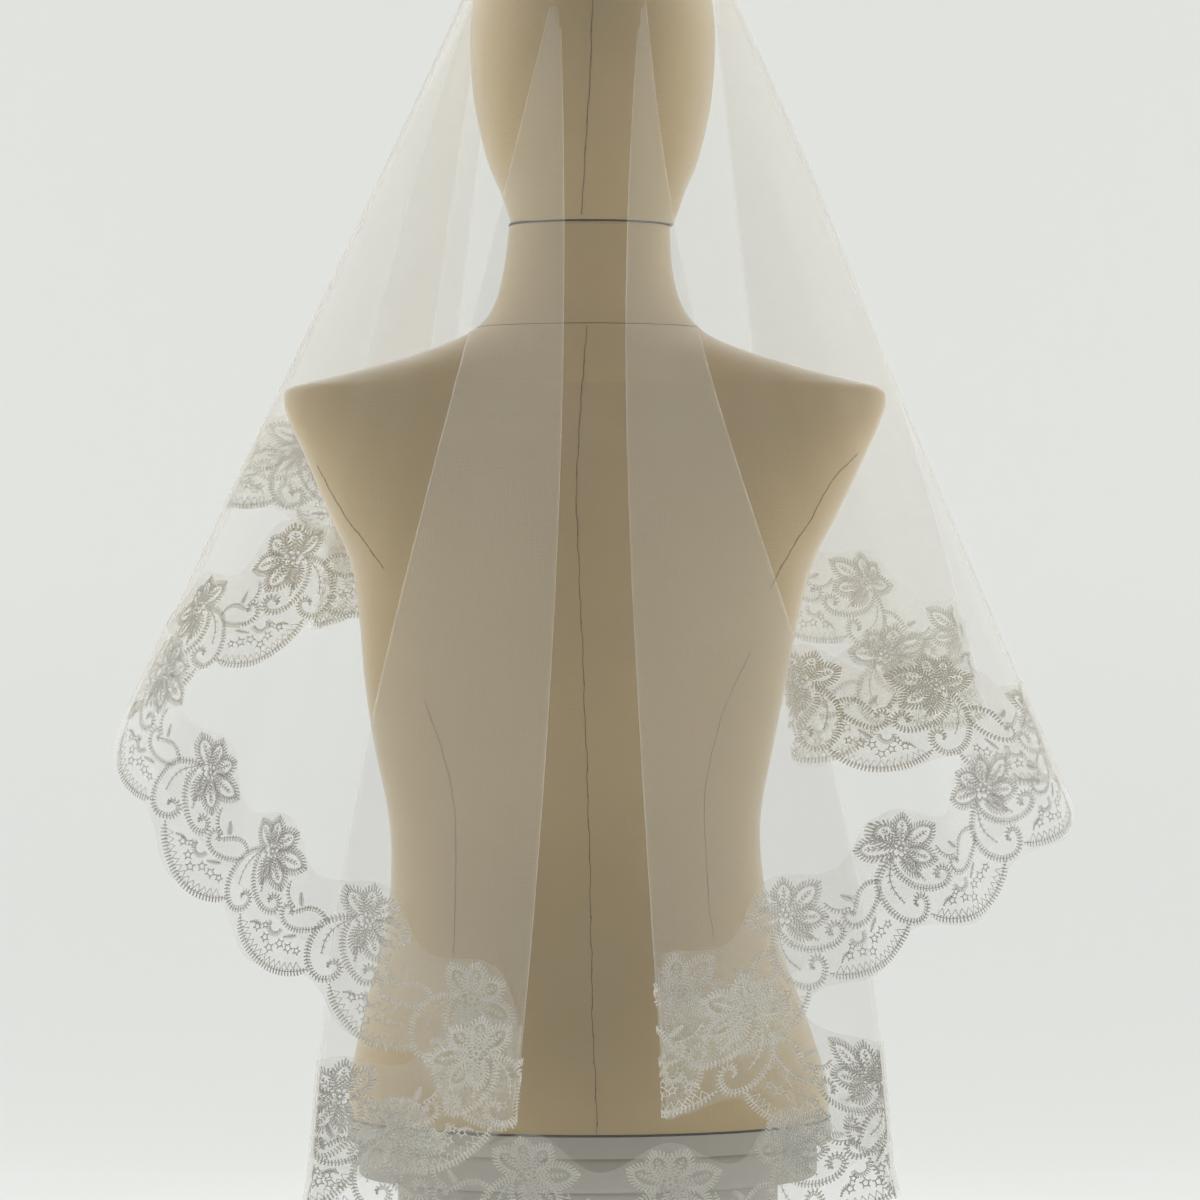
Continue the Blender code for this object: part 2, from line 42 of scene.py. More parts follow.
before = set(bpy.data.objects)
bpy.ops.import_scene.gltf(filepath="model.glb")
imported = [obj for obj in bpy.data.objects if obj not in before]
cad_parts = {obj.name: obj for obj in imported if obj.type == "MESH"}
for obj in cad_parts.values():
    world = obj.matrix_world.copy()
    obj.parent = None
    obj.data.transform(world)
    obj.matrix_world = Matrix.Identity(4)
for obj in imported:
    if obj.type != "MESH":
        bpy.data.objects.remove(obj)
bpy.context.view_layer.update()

MM = 0.001
UP = np.array([0.0, 0.0, 1.0])

# Cloth, as in the frame
FIRST_LIFT = 0.0016
LAYER_PITCH = 0.0026
HEM_FOLD_RADIUS = 0.004
CUT_EDGE = 0.012
LACE_REPEATS = 34
FOLD_REPEAT = 0.075
LACE_STAND = 0.0012
STITCH_STAND = 0.0015
SEAM_GAP = 0.0003
LEAN_FROM = 0.7
EDGE_PASSES = 4
HEAD_MIDDLE = np.array([0.003, 0.0, 0.830])
HEAD_RADII = np.array([0.0785, 0.098, 0.113])

# Fineness of the surfaces
SHEET_ROWS = 72
HEM_STEP = 0.006
TURN_FACES = 10
UNDER_TOP = 0.02
NET_ROWS = 10
NET_STEP = 0.0030
CROWN_FACES = 180
CROWN_ROWS = 26
FORM_FACES = 144
FORM_ROWS = 150
HEAD_ROWS = 40
READ_ROWS = 400
FORM_ANGLES = np.linspace(0, 2 * math.pi, FORM_FACES, endpoint=False)
EDGE_RINGS = 7
SEAM_STEP = 0.0008

# Over how many degrees the crown's rim takes its height and its lift from the stretches beside it
RIM_SOFTNESS = 2.4
RIM_REACH = 2.5

# The lace's chart: millimetres along one repeat of the hem and up from it, seen from outside
REPEAT = 78.0
NET_TOP, DOME_HEIGHT, DOME_MIDDLE = 49.0, 18.0, 17.0
NET_BOTTOM, SCALLOP_DEPTH, SCALLOP_MIDDLE = -6.5, 13.0, 46.0
CHART_LOW, CHART_HIGH, CHART_STEP = -24.0, 78.0, 3.0
CHART_LEVELS = np.arange(CHART_LOW, CHART_HIGH + CHART_STEP, CHART_STEP)
CHART_FINENESS = 70

# Cloth finish: distances between threads, how much more light the cloth stops where it is seen edge on, and
# the painted shade that darkens its colour there
TULLE_MESH = 0.0013
NET_MESH = 0.0010
EDGE_COVER = 0.75
EDGE_POWER = 5.0
EDGE_PAINTED_SHADE = 0.5

# Painted shade on the embroidery: where, beside the form's middle, its colour starts to darken, and over what
# width. It stands for backlit thread seen from its unlit side
THREAD_PAINTED_SHADE_FROM = 0.11
THREAD_PAINTED_SHADE_OVER = 0.05

# Dress form
BASE_MIDDLE_Y = -0.010
BUST_SPREAD = 0.070
BUST_WIDTH = 0.042

Level = namedtuple("Level", "z half_width shift front back bust")
TORSO = [Level(*row) for row in (
    (0.1303, 0.154, 0.001, 0.088, 0.108, 0.0),
    (0.170, 0.1515, 0.000, 0.092, 0.112, 0.0),
    (0.220, 0.138, -0.003, 0.090, 0.104, 0.0),
    (0.258, 0.1255, -0.005, 0.084, 0.090, 0.0),
    (0.298, 0.119, -0.007, 0.078, 0.077, 0.0),
    (0.336, 0.119, -0.0085, 0.077, 0.072, 0.0),
    (0.378, 0.127, -0.009, 0.080, 0.076, 0.004),
    (0.420, 0.1345, -0.008, 0.084, 0.083, 0.018),
    (0.460, 0.140, -0.006, 0.086, 0.089, 0.034),
    (0.497, 0.1475, -0.004, 0.085, 0.093, 0.026),
    (0.530, 0.163, -0.003, 0.080, 0.092, 0.010),
    (0.567, 0.1795, -0.002, 0.072, 0.084, 0.0),
    (0.588, 0.189, -0.002, 0.064, 0.072, 0.0),
    (0.601, 0.1925, -0.002, 0.058, 0.064, 0.0),
    (0.6095, 0.189, -0.002, 0.055, 0.060, 0.0),
    (0.6150, 0.168, -0.002, 0.054, 0.060, 0.0),
    (0.6215, 0.142, -0.002, 0.053, 0.060, 0.0),
    (0.6300, 0.112, -0.001, 0.051, 0.059, 0.0),
    (0.6400, 0.085, -0.001, 0.050, 0.056, 0.0),
    (0.6500, 0.069, 0.000, 0.050, 0.053, 0.0),
    (0.6640, 0.0595, 0.000, 0.051, 0.049, 0.0),
    (0.6850, 0.0540, 0.000, 0.054, 0.046, 0.0),
    (0.7137, 0.0512, 0.001, 0.058, 0.044, 0.0),
)]

HeadLevel = namedtuple("HeadLevel", "z half_width front back")
HEAD = [HeadLevel(*row) for row in (
    (0.714, 0.0515, 0.068, 0.047),
    (0.722, 0.0545, 0.074, 0.055),
    (0.735, 0.0590, 0.080, 0.065),
    (0.755, 0.0672, 0.087, 0.078),
    (0.785, 0.0745, 0.0935, 0.0905),
    (0.810, 0.0775, 0.0970, 0.0965),
    (0.830, 0.0785, 0.0980, 0.0980),
)]

Tier = namedtuple("Tier", "name slot half_width half_depth low high edge")
TIERS = [
    Tier("cap", "base_grey", 0.146, 0.092, 0.1075, 0.1300, 0.004),
    Tier("plinth", "plinth_grey", 0.121, 0.080, 0.0, 0.1072, 0.004),
]

# The seams of the canvas, on its back (-1) or front (+1): each runs through these x and z places.
Seam = namedtuple("Seam", "name body side width wander dashed x z")
SEAMS = [
    Seam("centre_back", "torso", -1, 0.0005, 0.0006, False,
         (-0.0008, -0.0036, -0.0062, -0.0066, -0.0040, -0.0007, 0.0012, 0.0032, 0.0063),
         (0.646, 0.604, 0.565, 0.526, 0.464, 0.377, 0.315, 0.215, 0.146)),
    Seam("head_back", "head", -1, 0.0005, 0.0004, False,
         (0.007, 0.0035, 0.0010, -0.0040), (0.940, 0.850, 0.790, 0.7165)),
    Seam("head_front", "head", 1, 0.0005, 0.0006, True,
         (0.003, 0.0035, 0.0030, 0.0020), (0.940, 0.850, 0.790, 0.7165)),
    Seam("armhole_left", "torso", -1, 0.0006, 0.0004, True,
         (-0.172, -0.156, -0.141, -0.128), (0.559, 0.531, 0.511, 0.493)),
    Seam("armhole_right", "torso", -1, 0.0006, 0.0004, True,
         (0.171, 0.154, 0.1415, 0.1275, 0.115), (0.567, 0.549, 0.526, 0.505, 0.4815)),
    Seam("princess_left", "torso", -1, 0.0004, 0.0003, True,
         (-0.103, -0.089, -0.083, -0.084), (0.412, 0.372, 0.330, 0.235)),
    Seam("princess_right", "torso", -1, 0.0004, 0.0003, True,
         (0.102, 0.087, 0.079, 0.0743, 0.0733, 0.0758, 0.079),
         (0.441, 0.409, 0.382, 0.359, 0.3365, 0.287, 0.262)),
    Seam("centre_front", "torso", 1, 0.0007, 0.0004, True,
         (0.0, -0.004, -0.006, 0.0), (0.640, 0.520, 0.330, 0.136)),
    Seam("princess_front_left", "torso", 1, 0.0004, 0.0003, True,
         (-0.100, -0.078, -0.072, -0.088), (0.585, 0.470, 0.330, 0.150)),
    Seam("princess_front_right", "torso", 1, 0.0004, 0.0003, True,
         (0.096, 0.068, 0.062, 0.082), (0.585, 0.470, 0.330, 0.150)),
]

# A sewn line wanders as a sum of waves, and its stitches come and go as a product of two.
Wave = namedtuple("Wave", "size turns start")
WANDER_WAVES = (Wave(1.0, 260, 0.0), Wave(0.8, 611, 1.3), Wave(0.7, 97, 0.4))
STITCH_WAVES = (Wave(1.0, 1330, 0.0), Wave(1.0, 173, 0.9))
RIBBON_LIFTS = (0.00005, 0.00035, 0.00005)

# Bands round the torso: the base's rim, the dark gap over it, the neck's seam and the joint under the head
Band = namedtuple("Band", "name z height stand look")
BANDS = [
    Band("base_rim", 0.1367, 0.0138, 0.0008, "paint"),
    Band("foot_gap", 0.1442, 0.0016, 0.0010, "gap"),
    Band("neck_seam", 0.6480, 0.0005, 0.0003, "line"),
    Band("neck_joint", 0.7137, 0.0018, 0.0006, "gap"),
]
BAND_EDGE_STAND = 0.0001

# The hem's stations, from the right edge of the back panel leftwards round the form.
Station = namedtuple("Station", "name x y z top_deg off bow sway lace")
HEM = [
    Station("back_right_tip", 0.178, -0.190, 0.138, -68, 0, 0.002, -0.014, 0.16),
    Station("back_middle_right", 0.098, -0.207, 0.093, -77, 0, 0.001, -0.006, 1.26),
    Station("back_middle", 0.008, -0.212, 0.086, -86, 0, 0, 0, 2.23),
    Station("back_middle_left", -0.085, -0.206, 0.103, -96, 0, -0.009, 0.002, 3.32),
    Station("back_left_tip", -0.162, -0.190, 0.129, -105, 0, -0.017, 0.005, 4.38),
    Station("back_left_root", -0.048, -0.145, 0.161, -105, 0, 0.0117, 0.0004, 5.96),
    Station("shoulder_left", -0.157, -0.124, 0.241, -132, 0, 0.003, 0, 7.69),
    Station("elbow_left", -0.236, -0.084, 0.302, -158, 0.001, -0.008, 0, 9.13),
    Station("outline_left", -0.294, -0.004, 0.399, -180, 0, 0, 0, 10.74),
    Station("turn_left", -0.248, 0.074, 0.437, -190, 0, 0, 0, 11.95),
    Station("pleat_left_root_1", -0.130, 0.125, 0.490, -200, 0, 0, 0, 13.62),
    Station("pleat_left_tip_1", -0.179, 0.150, 0.474, -200, 0, -0.010, 0, 14.43),
    Station("pleat_left_root_2", -0.110, 0.168, 0.501, -220, 0, 0, 0, 15.50),
    Station("pleat_left_tip_2", -0.236, 0.174, 0.553, -220, 0, -0.004, 0, 17.33),
    Station("front_left", -0.152, 0.210, 0.529, -243, 0, 0, 0, 18.56),
    Station("front_middle", 0.000, 0.222, 0.512, -275, 0, 0, 0, 20.44),
    Station("front_right", 0.152, 0.202, 0.463, -312, 0.002, 0.008, 0, 22.41),
    Station("pleat_right_tip", 0.260, 0.146, 0.410, -347, 0.005, 0.018, 0, 24.10),
    Station("pleat_right_root", 0.140, 0.118, 0.379, -342, 0.005, 0, 0, 25.65),
    Station("turn_right", 0.250, 0.074, 0.376, -352, 0.007, 0, 0, 26.99),
    Station("outline_right", 0.304, 0.000, 0.354, -360, 0.010, 0, 0, 28.07),
    Station("elbow_right", 0.238, -0.074, 0.296, -384, 0.007, 0.006, 0, 29.34),
    Station("shoulder_right", 0.169, -0.114, 0.261, -407, 0.003, -0.005, 0, 30.46),
    Station("back_right_root", 0.050, -0.145, 0.180, -428, 0, -0.013, -0.002, 32.31),
    Station("back_right_under", 0.122, -0.166, 0.176, -428, 0, -0.007, -0.009, 33.27),
]

# The stretches between folds: the stations they join and the layers under each end on the head.
Stretch = namedtuple("Stretch", "name start end layer_start layer_end under")
STRETCHES = [
    Stretch("back", "back_right_tip", "back_left_tip", 2, 2, False),
    Stretch("back_fold_left", "back_left_tip", "back_left_root", 1, 1, True),
    Stretch("side_left", "back_left_root", "outline_left", 0, 0, False),
    Stretch("turn_left", "outline_left", "pleat_left_root_1", 0, 0, False),
    Stretch("pleat_left_1", "pleat_left_root_1", "pleat_left_tip_1", 1, 1, True),
    Stretch("pleat_left_2", "pleat_left_tip_1", "pleat_left_root_2", 2, 2, False),
    Stretch("pleat_left_3", "pleat_left_root_2", "pleat_left_tip_2", 3, 3, True),
    Stretch("front", "pleat_left_tip_2", "pleat_right_tip", 4, 2, False),
    Stretch("pleat_right_1", "pleat_right_tip", "pleat_right_root", 1, 1, True),
    Stretch("turn_right", "pleat_right_root", "outline_right", 0, 0, False),
    Stretch("side_right", "outline_right", "back_right_root", 0, 0, False),
    Stretch("back_fold_right", "back_right_root", "back_right_tip", 1, 1, True),
]

# Soft creases: ridges (+) and troughs (-) that fan out from the head, each at a share of its stretch
Crease = namedtuple("Crease", "place width depth")
CREASES = {
    "back": (Crease(0.16, 0.050, 0.0022), Crease(0.37, 0.070, -0.0030), Crease(0.62, 0.060, 0.0026),
             Crease(0.84, 0.045, -0.0018)),
    "side_left": (Crease(0.20, 0.060, -0.0030), Crease(0.41, 0.050, 0.0036), Crease(0.63, 0.070, -0.0044),
                  Crease(0.83, 0.040, 0.0030)),
    "turn_left": (Crease(0.30, 0.080, 0.0040), Crease(0.66, 0.070, -0.0036)),
    "front": (Crease(0.14, 0.030, -0.0034), Crease(0.27, 0.036, 0.0048), Crease(0.42, 0.040, -0.0050),
              Crease(0.57, 0.034, 0.0040), Crease(0.71, 0.040, -0.0046), Crease(0.86, 0.030, 0.0034)),
    "turn_right": (Crease(0.34, 0.070, -0.0034), Crease(0.70, 0.060, 0.0040)),
    "side_right": (Crease(0.14, 0.040, -0.0026), Crease(0.36, 0.060, 0.0040), Crease(0.58, 0.050, -0.0038),
                   Crease(0.79, 0.060, 0.0028)),
}

# One repeat of the embroidery, charted in millimetres
FLOWER_MIDDLE = (16.5, 41.9)
Leaf = namedtuple("Leaf", "degrees length width")
LEAVES = [
    Leaf(156, 23.5, 14.0),
    Leaf(112, 21.5, 13.5),
    Leaf(62, 22.0, 14.0),
    Leaf(10, 28.5, 15.0),
    Leaf(-36, 25.5, 13.5),
    Leaf(-76, 20.5, 10.0),
]
Scroll = namedtuple("Scroll", "name left right u v")
SCROLLS = [
    Scroll("great", 2.3, 2.0, (13.5, 5.5, -3.8, -3.5, 2.8, 12.3, 19.6, 20.9, 16.5, 12.8, 13.6),
           (38.8, 37.3, 25.4, 10.0, -0.2, -3.7, 1.4, 8.6, 11.4, 8.4, 5.4)),
    Scroll("lesser", 2.3, 2.0, (8.6, 9.2, 15.8, 25.2, 34.8, 41.6, 41.5, 36.5, 32.6, 34.4),
           (36.0, 27.4, 18.2, 12.4, 10.4, 13.8, 19.6, 22.0, 18.8, 15.9)),
    Scroll("crescent_low", 2.0, 1.7, (75.5, 71.3, 64.3, 57.0, 50.2, 46.2, 46.6, 51.0, 53.2),
           (24.0, 19.4, 14.6, 11.8, 12.4, 16.6, 21.8, 22.6, 18.9)),
    Scroll("crescent_high", 2.2, 1.2, (77.0, 71.6, 66.5, 61.0, 57.0, 53.8),
           (28.6, 30.9, 31.0, 28.6, 24.8, 21.4)),
    Scroll("feather", 2.4, 0.5, (51.6, 47.2, 42.8, 40.8), (24.4, 25.4, 29.4, 34.6)),
]
Twig = namedtuple("Twig", "name barb pitch u v")
TWIGS = [
    Twig("inner", 1.9, 4.2, (9.6, 4.6, 3.2, 3.4, 5.8), (40.4, 30.0, 24.4, 18.0, 10.6)),
    Twig("hanging", 2.2, 2.1, (12.8, 15.4, 19.2, 22.6, 25.0), (39.2, 34.4, 28.6, 23.0, 18.4)),
    Twig("fir", 2.6, 1.3, (51.2, 53.2, 56.0), (33.2, 30.8, 27.6)),
    Twig("cluster_left", 1.6, 1.5, (30.2, 34.0, 38.0), (-1.4, 1.4, 1.6)),
    Twig("cluster_right", 1.9, 1.4, (56.4, 60.0, 63.6), (4.4, 7.2, 9.8)),
]
Blossom = namedtuple("Blossom", "u v radius")
BLOSSOMS = [
    Blossom(36.6, -0.6, 2.4),
    Blossom(45.2, -2.9, 2.5),
    Blossom(51.4, -6.4, 2.6),
    Blossom(56.4, -0.4, 2.6),
    Blossom(63.2, 0.8, 2.8),
    Blossom(41.0, 3.4, 2.0),
    Blossom(69.6, 2.6, 2.2),
]
Fan = namedtuple("Fan", "u v inner outer start end rays")
FANS = [
    Fan(47.4, 6.6, 3.2, 6.4, 175, 365, 15),
    Fan(17.0, 42.4, 1.0, 3.4, 0, 345, 14),
    Fan(13.4, 7.2, 0.3, 2.0, 60, 300, 6),
    Fan(34.6, 17.6, 0.3, 2.0, 30, 270, 6),
    Fan(52.2, 19.6, 0.3, 2.2, 0, 240, 6),
]
BORDER_U = (20.6, 27.0, 36.2, 47.3, 58.5, 68.5, 76.0, 81.6)
BORDER_V = (-2.6, -8.0, -12.6, -15.6, -15.8, -12.6, -8.0, -3.0)
BORDER_TEETH = 13
TOOTH_HEIGHT, TOOTH_FOOT = 5.6, 1.2
TOOTH_FIRST, TOOTH_LAST = 0.06, 0.94
BARB_PITCH = 2.1
BARB_WIDTH = 1.15
BARB_GROWTH = 9
SPINE_STEP = 2.2
SPINE_WIDTH = 0.6

# A leaf's edges: how far from the flower's middle and the leaf's tip they stop, their curve and their inset
LEAF_START, LEAF_SHORT = 2.6, 2.0
LEAF_POINTS = 9
LEAF_SKEW, LEAF_FULLNESS = 1.15, 0.62
LEAF_INSET = 0.74
LEAF_BARBS = (3.1, 1.3)
VEIN_START, VEIN_MIDDLE, VEIN_END = 1.6, 0.4, 0.74

# A twig's barbs: how far they go beside it and along it, and their reach at its ends as a share
TWIG_BESIDE, TWIG_ALONG = 0.8, 0.6
TWIG_END_REACH = 0.6

# A blossom's ring swings between two shares of its radius, and its points stand out to a third.
BLOSSOM_STITCHES = 10
BLOSSOM_RING = (0.82, 0.66)
BLOSSOM_POINT = 1.38

# The studio, and where its glow starts and is full: behind the form, beside its middle and round the base
STUDIO_HALF_WIDTH = 6.0
STUDIO_COLUMNS = 9
FLOOR_PLACES = (-6.0, -3.0, -1.0)
SWEEP_RADIUS = 0.5
SWEEP_RINGS = 24
WALL_TOP = 5.0
GLOW_BEHIND = (-0.2, 0.7)
GLOW_BESIDE = (0.75, 1.9)
GLOW_ROUND = (0.90, 0.20)
STUDIO_COLOUR = (0.86, 0.87, 0.85)
BACKDROP_SHADE = 0.25
GLOW_COLOUR = (0.98, 1.0, 0.97, 1.0)
ROOM_COLOUR = (1.0, 0.985, 0.95, 1.0)
LIGHT_POWER = 6.0
CLOTH_LAYERS = 40

# The photo's view, at the form's distance
VIEW_X, VIEW_Z = 0.0077, 0.474
VIEW_WIDTH = 0.768
SENSOR_WIDTH = 36.0

# What like settings share
COLOUR = {"subtype": "COLOR", "size": 3, "min": 0, "max": 1}
COVER = {"subtype": "FACTOR", "min": 0.02, "max": 0.9}


class VeilCloth(bpy.types.PropertyGroup):
    """The cloth's colours, how much light it stops, and the size of its stitches"""

    tulle_colour: bpy.props.FloatVectorProperty(
        name="Tulle colour", description="Colour of the tulle's thread",
        default=(0.90, 0.89, 0.85), **COLOUR)
    tulle_cover: bpy.props.FloatProperty(
        name="Tulle cover", description="Share of the light that one layer of tulle stops",
        default=0.125, **COVER)
    net_cover: bpy.props.FloatProperty(
        name="Lace net cover", description="Share of the light that the lace's net stops",
        default=0.225, **COVER)
    thread_colour: bpy.props.FloatVectorProperty(
        name="Thread colour", description="Colour of the embroidery at the form's middle",
        default=(0.93, 0.905, 0.85), **COLOUR)
    # Painted shade: the share by which the embroidery's colour is darkened past the form's sides
    thread_painted_shade: bpy.props.FloatProperty(
        name="Thread shade", description="How dark the embroidery is past the form's sides, as a share",
        subtype="FACTOR", min=0.2, max=1, default=0.69)
    thread_width: bpy.props.FloatProperty(
        name="Stitch width", description="Width of one stitch of the embroidery", unit="LENGTH",
        min=0.0002, max=0.002, default=0.00084)
    thread_height: bpy.props.FloatProperty(
        name="Stitch height", description="How far the stitches stand out of the net", unit="LENGTH",
        min=0.0001, max=0.001, default=0.00032)


class FormLook(bpy.types.PropertyGroup):
    """The colours of the form and its base, and the weave of its canvas"""

    canvas_colour: bpy.props.FloatVectorProperty(
        name="Canvas colour", description="Colour of the form's canvas",
        default=(0.452, 0.346, 0.188), **COLOUR)
    seam_colour: bpy.props.FloatVectorProperty(
        name="Seam colour", description="Colour in the seams of the canvas",
        default=(0.075, 0.042, 0.020), **COLOUR)
    joint_colour: bpy.props.FloatVectorProperty(
        name="Joint colour", description="Colour in the joints of the form",
        default=(0.018, 0.014, 0.010), **COLOUR)
    base_colour: bpy.props.FloatVectorProperty(
        name="Base colour", description="Colour of the painted base",
        default=(0.365, 0.345, 0.31), **COLOUR)
    weave_pitch: bpy.props.FloatProperty(
        name="Weave pitch", description="Distance between the canvas's threads", unit="LENGTH",
        min=0.0004, max=0.004, default=0.0012)


class StudioLook(bpy.types.PropertyGroup):
    """The studio's lights and glow, and how far the backdrop and the camera stand"""

    room_light: bpy.props.FloatProperty(
        name="Room light", description="Brightness of the even light all round",
        min=0, max=3, default=0.122)
    side_light: bpy.props.FloatProperty(
        name="Side light", description="Brightness that comes from both sides",
        min=0, max=9, default=2.7)
    top_light: bpy.props.FloatProperty(
        name="Top light", description="Brightness that comes from above",
        min=0, max=9, default=0.2)
    backdrop_glow: bpy.props.FloatProperty(
        name="Backdrop glow", description="Brightness that the lit backdrop adds",
        min=0, max=3, default=0.635)
    wing_glow: bpy.props.FloatProperty(
        name="Wing glow", description="How many times brighter both sides of the backdrop are",
        min=0, max=30, default=3.6)
    floor_glow: bpy.props.FloatProperty(
        name="Floor glow", description="Brightness that the floor adds round the base",
        min=0, max=3, default=0.15)
    backdrop_distance: bpy.props.FloatProperty(
        name="Backdrop distance", description="From the form to the backdrop", unit="LENGTH",
        min=0.5, max=4, default=1.3)
    camera_distance: bpy.props.FloatProperty(
        name="Camera distance", description="From the form to the camera", unit="LENGTH",
        min=1, max=6, default=2.8)


# Meshes


def add_surface(name, points, faces, material, uv=None, smooth=True):
    """A mesh object at the origin from an array of points and an array of faces with equal corners."""
    mesh = bpy.data.meshes.new(name)
    mesh.vertices.add(len(points))
    mesh.vertices.foreach_set("co", np.asarray(points, np.float32).ravel())
    corners = faces.shape[1]
    mesh.loops.add(faces.size)
    mesh.loops.foreach_set("vertex_index", faces.astype(np.int32).ravel())
    mesh.polygons.add(len(faces))
    mesh.polygons.foreach_set("loop_start", np.arange(0, faces.size, corners, dtype=np.int32))
    mesh.polygons.foreach_set("use_smooth", np.full(len(faces), smooth))
    mesh.update(calc_edges=True)
    if uv is not None:
        layer = mesh.uv_layers.new(name="cloth")
        layer.data.foreach_set("uv", np.asarray(uv, np.float32)[faces.ravel()].ravel())
    mesh.materials.append(material)
    piece = bpy.data.objects.new(name, mesh)
    bpy.context.scene.collection.objects.link(piece)
    return piece


def add_grid(name, grid, material, uv=None, closed=False):
    """A piece from a grid of points, numbered row by row within each column, with four-cornered faces."""
    columns, rows = grid.shape[:2]
    last = columns if closed else columns - 1
    column, row = np.meshgrid(np.arange(last), np.arange(rows - 1), indexing="ij")
    here = column * rows + row
    beside = (column + 1) % columns * rows + row
    faces = np.stack([here, beside, beside + 1, here + 1], axis=-1).reshape(-1, 4)
    return add_surface(name, grid.reshape(-1, 3), faces, material, uv)


def settle(piece, slot, *nodes):
    """Ties a piece to the frame: what it moves with and the solids that it stands for. The slot is not used.
    """
    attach(piece, "root")
    if nodes:
        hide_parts(*nodes)


# Curves


def unit(vectors):
    """Vectors at a length of one."""
    return vectors / np.maximum(np.linalg.norm(vectors, axis=-1, keepdims=True), 1e-12)


def left_of(way):
    """The direction to the left of each given one, on a chart."""
    return np.stack([-way[:, 1], way[:, 0]], axis=1)


def run_of(path):
    """How far along a path each of its points lies."""
    return np.concatenate([[0], np.cumsum(np.linalg.norm(np.diff(path, axis=0), axis=1))])


def length_of(path):
    """The length of a path through its points."""
    return np.linalg.norm(np.diff(path, axis=0), axis=1).sum()


def between(share, values):
    """Evenly spaced values, read straight between one and the next."""
    return np.interp(share, np.linspace(0, 1, len(values)), values)


def smooth_rows(rows, share):
    """Values on a smooth curve through evenly numbered rows. The first and last only give the run-on.

    Between two rows a and b, with their neighbours p and q, the curve at t is
    a + t/2 (b - p + t (2p - 5a + 4b - q + t (3(a - b) + q - p))).
    """
    rows = np.asarray(rows, float)
    faces = len(rows) - 3
    place = np.clip(np.asarray(share) * faces, 0, faces)
    low = np.minimum(place.astype(int), faces - 1)
    part = (place - low)[:, None]
    before, start, end, after = rows[low], rows[low + 1], rows[low + 2], rows[low + 3]
    bend = 2 * before - 5 * start + 4 * end - after
    twist = 3 * (start - end) + after - before
    return start + 0.5 * part * (end - before + part * (bend + part * twist))


def smooth_path(points, step, fineness=24):
    """Evenly spaced points on a smooth curve through the given ones, and the way it runs at each."""
    points = np.asarray(points, float)
    ends = [2 * points[0] - points[1], *points, 2 * points[-1] - points[-2]]
    fine = smooth_rows(ends, np.linspace(0, 1, fineness * len(points)))
    length = run_of(fine)
    even = np.linspace(0, length[-1], max(2, round(length[-1] / step) + 1))
    path = np.stack([np.interp(even, length, fine[:, i]) for i in range(fine.shape[1])], axis=1)
    return path, unit(np.gradient(path, axis=0))


# The sheet


def station_value(number, name):
    """A value from the hem's table. Directions and repeats go on from one round of the hem to the next."""
    value = getattr(HEM[number % len(HEM)], name)
    return value + number // len(HEM) * {"top_deg": -360, "lace": LACE_REPEATS}.get(name, 0)


def is_fold(station):
    """Whether the sheet folds at a station: at the tip or the root of a pleat or of the back panel."""
    return "tip" in station or "root" in station


def stations_of(stretch):
    """The numbers of the stretch's stations. Past the table's end they count on."""
    names = [station.name for station in HEM]
    first = names.index(stretch.start)
    last = names.index(stretch.end)
    return list(range(first, last + 1 if last > first else last + len(HEM) + 1))


def hem_curve(stretch, share, names):
    """The named values along the stretch, on a smooth curve that runs on past each end but a fold."""
    numbers = stations_of(stretch)
    numbers = [numbers[0] - 1, *numbers, numbers[-1] + 1]
    rows = np.array([[station_value(i, name) for name in names] for i in numbers])
    if is_fold(stretch.start):
        rows[0] = 2 * rows[1] - rows[2]
    if is_fold(stretch.end):
        rows[-1] = 2 * rows[-2] - rows[-3]
    return smooth_rows(rows, share)


def neighbour(stretch, at_start):
    """The stretch before the given one, or after it."""
    index = STRETCHES.index(stretch)
    return STRETCHES[index - 1] if at_start else STRETCHES[(index + 1) % len(STRETCHES)]


def side_of_fold(stretch, at_start):
    """-1 or +1 for the layer of a fold that lies towards -Y or +Y, and 0 where the sheet doesn't fold."""
    station = stretch.start if at_start else stretch.end
    if not is_fold(station):
        return 0
    other = neighbour(stretch, at_start)
    layer = stretch.layer_start if at_start else stretch.layer_end
    other_layer = other.layer_end if at_start else other.layer_start
    outer = layer > other_layer
    return -1 if outer == station.startswith("back") else 1


def crease_depth(stretch, share):
    """How far soft creases push the hem outwards: the sum of depth exp(-((share - place) / width)^2).

    It falls to nothing at both ends of the stretch, as the root of a sine.
    """
    depth = np.zeros(len(share))
    for crease in CREASES.get(stretch.name, ()):
        depth = depth + crease.depth * np.exp(-(((share - crease.place) / crease.width) ** 2))
    return depth * np.sin(np.pi * np.clip(share, 0, 1)) ** 0.5


def on_ball(direction, rise):
    """Points of a unit ball at a direction round it and a rise above its middle."""
    flat = np.cos(rise)
    return np.stack([flat * np.cos(direction), flat * np.sin(direction), np.sin(rise)], axis=-1)


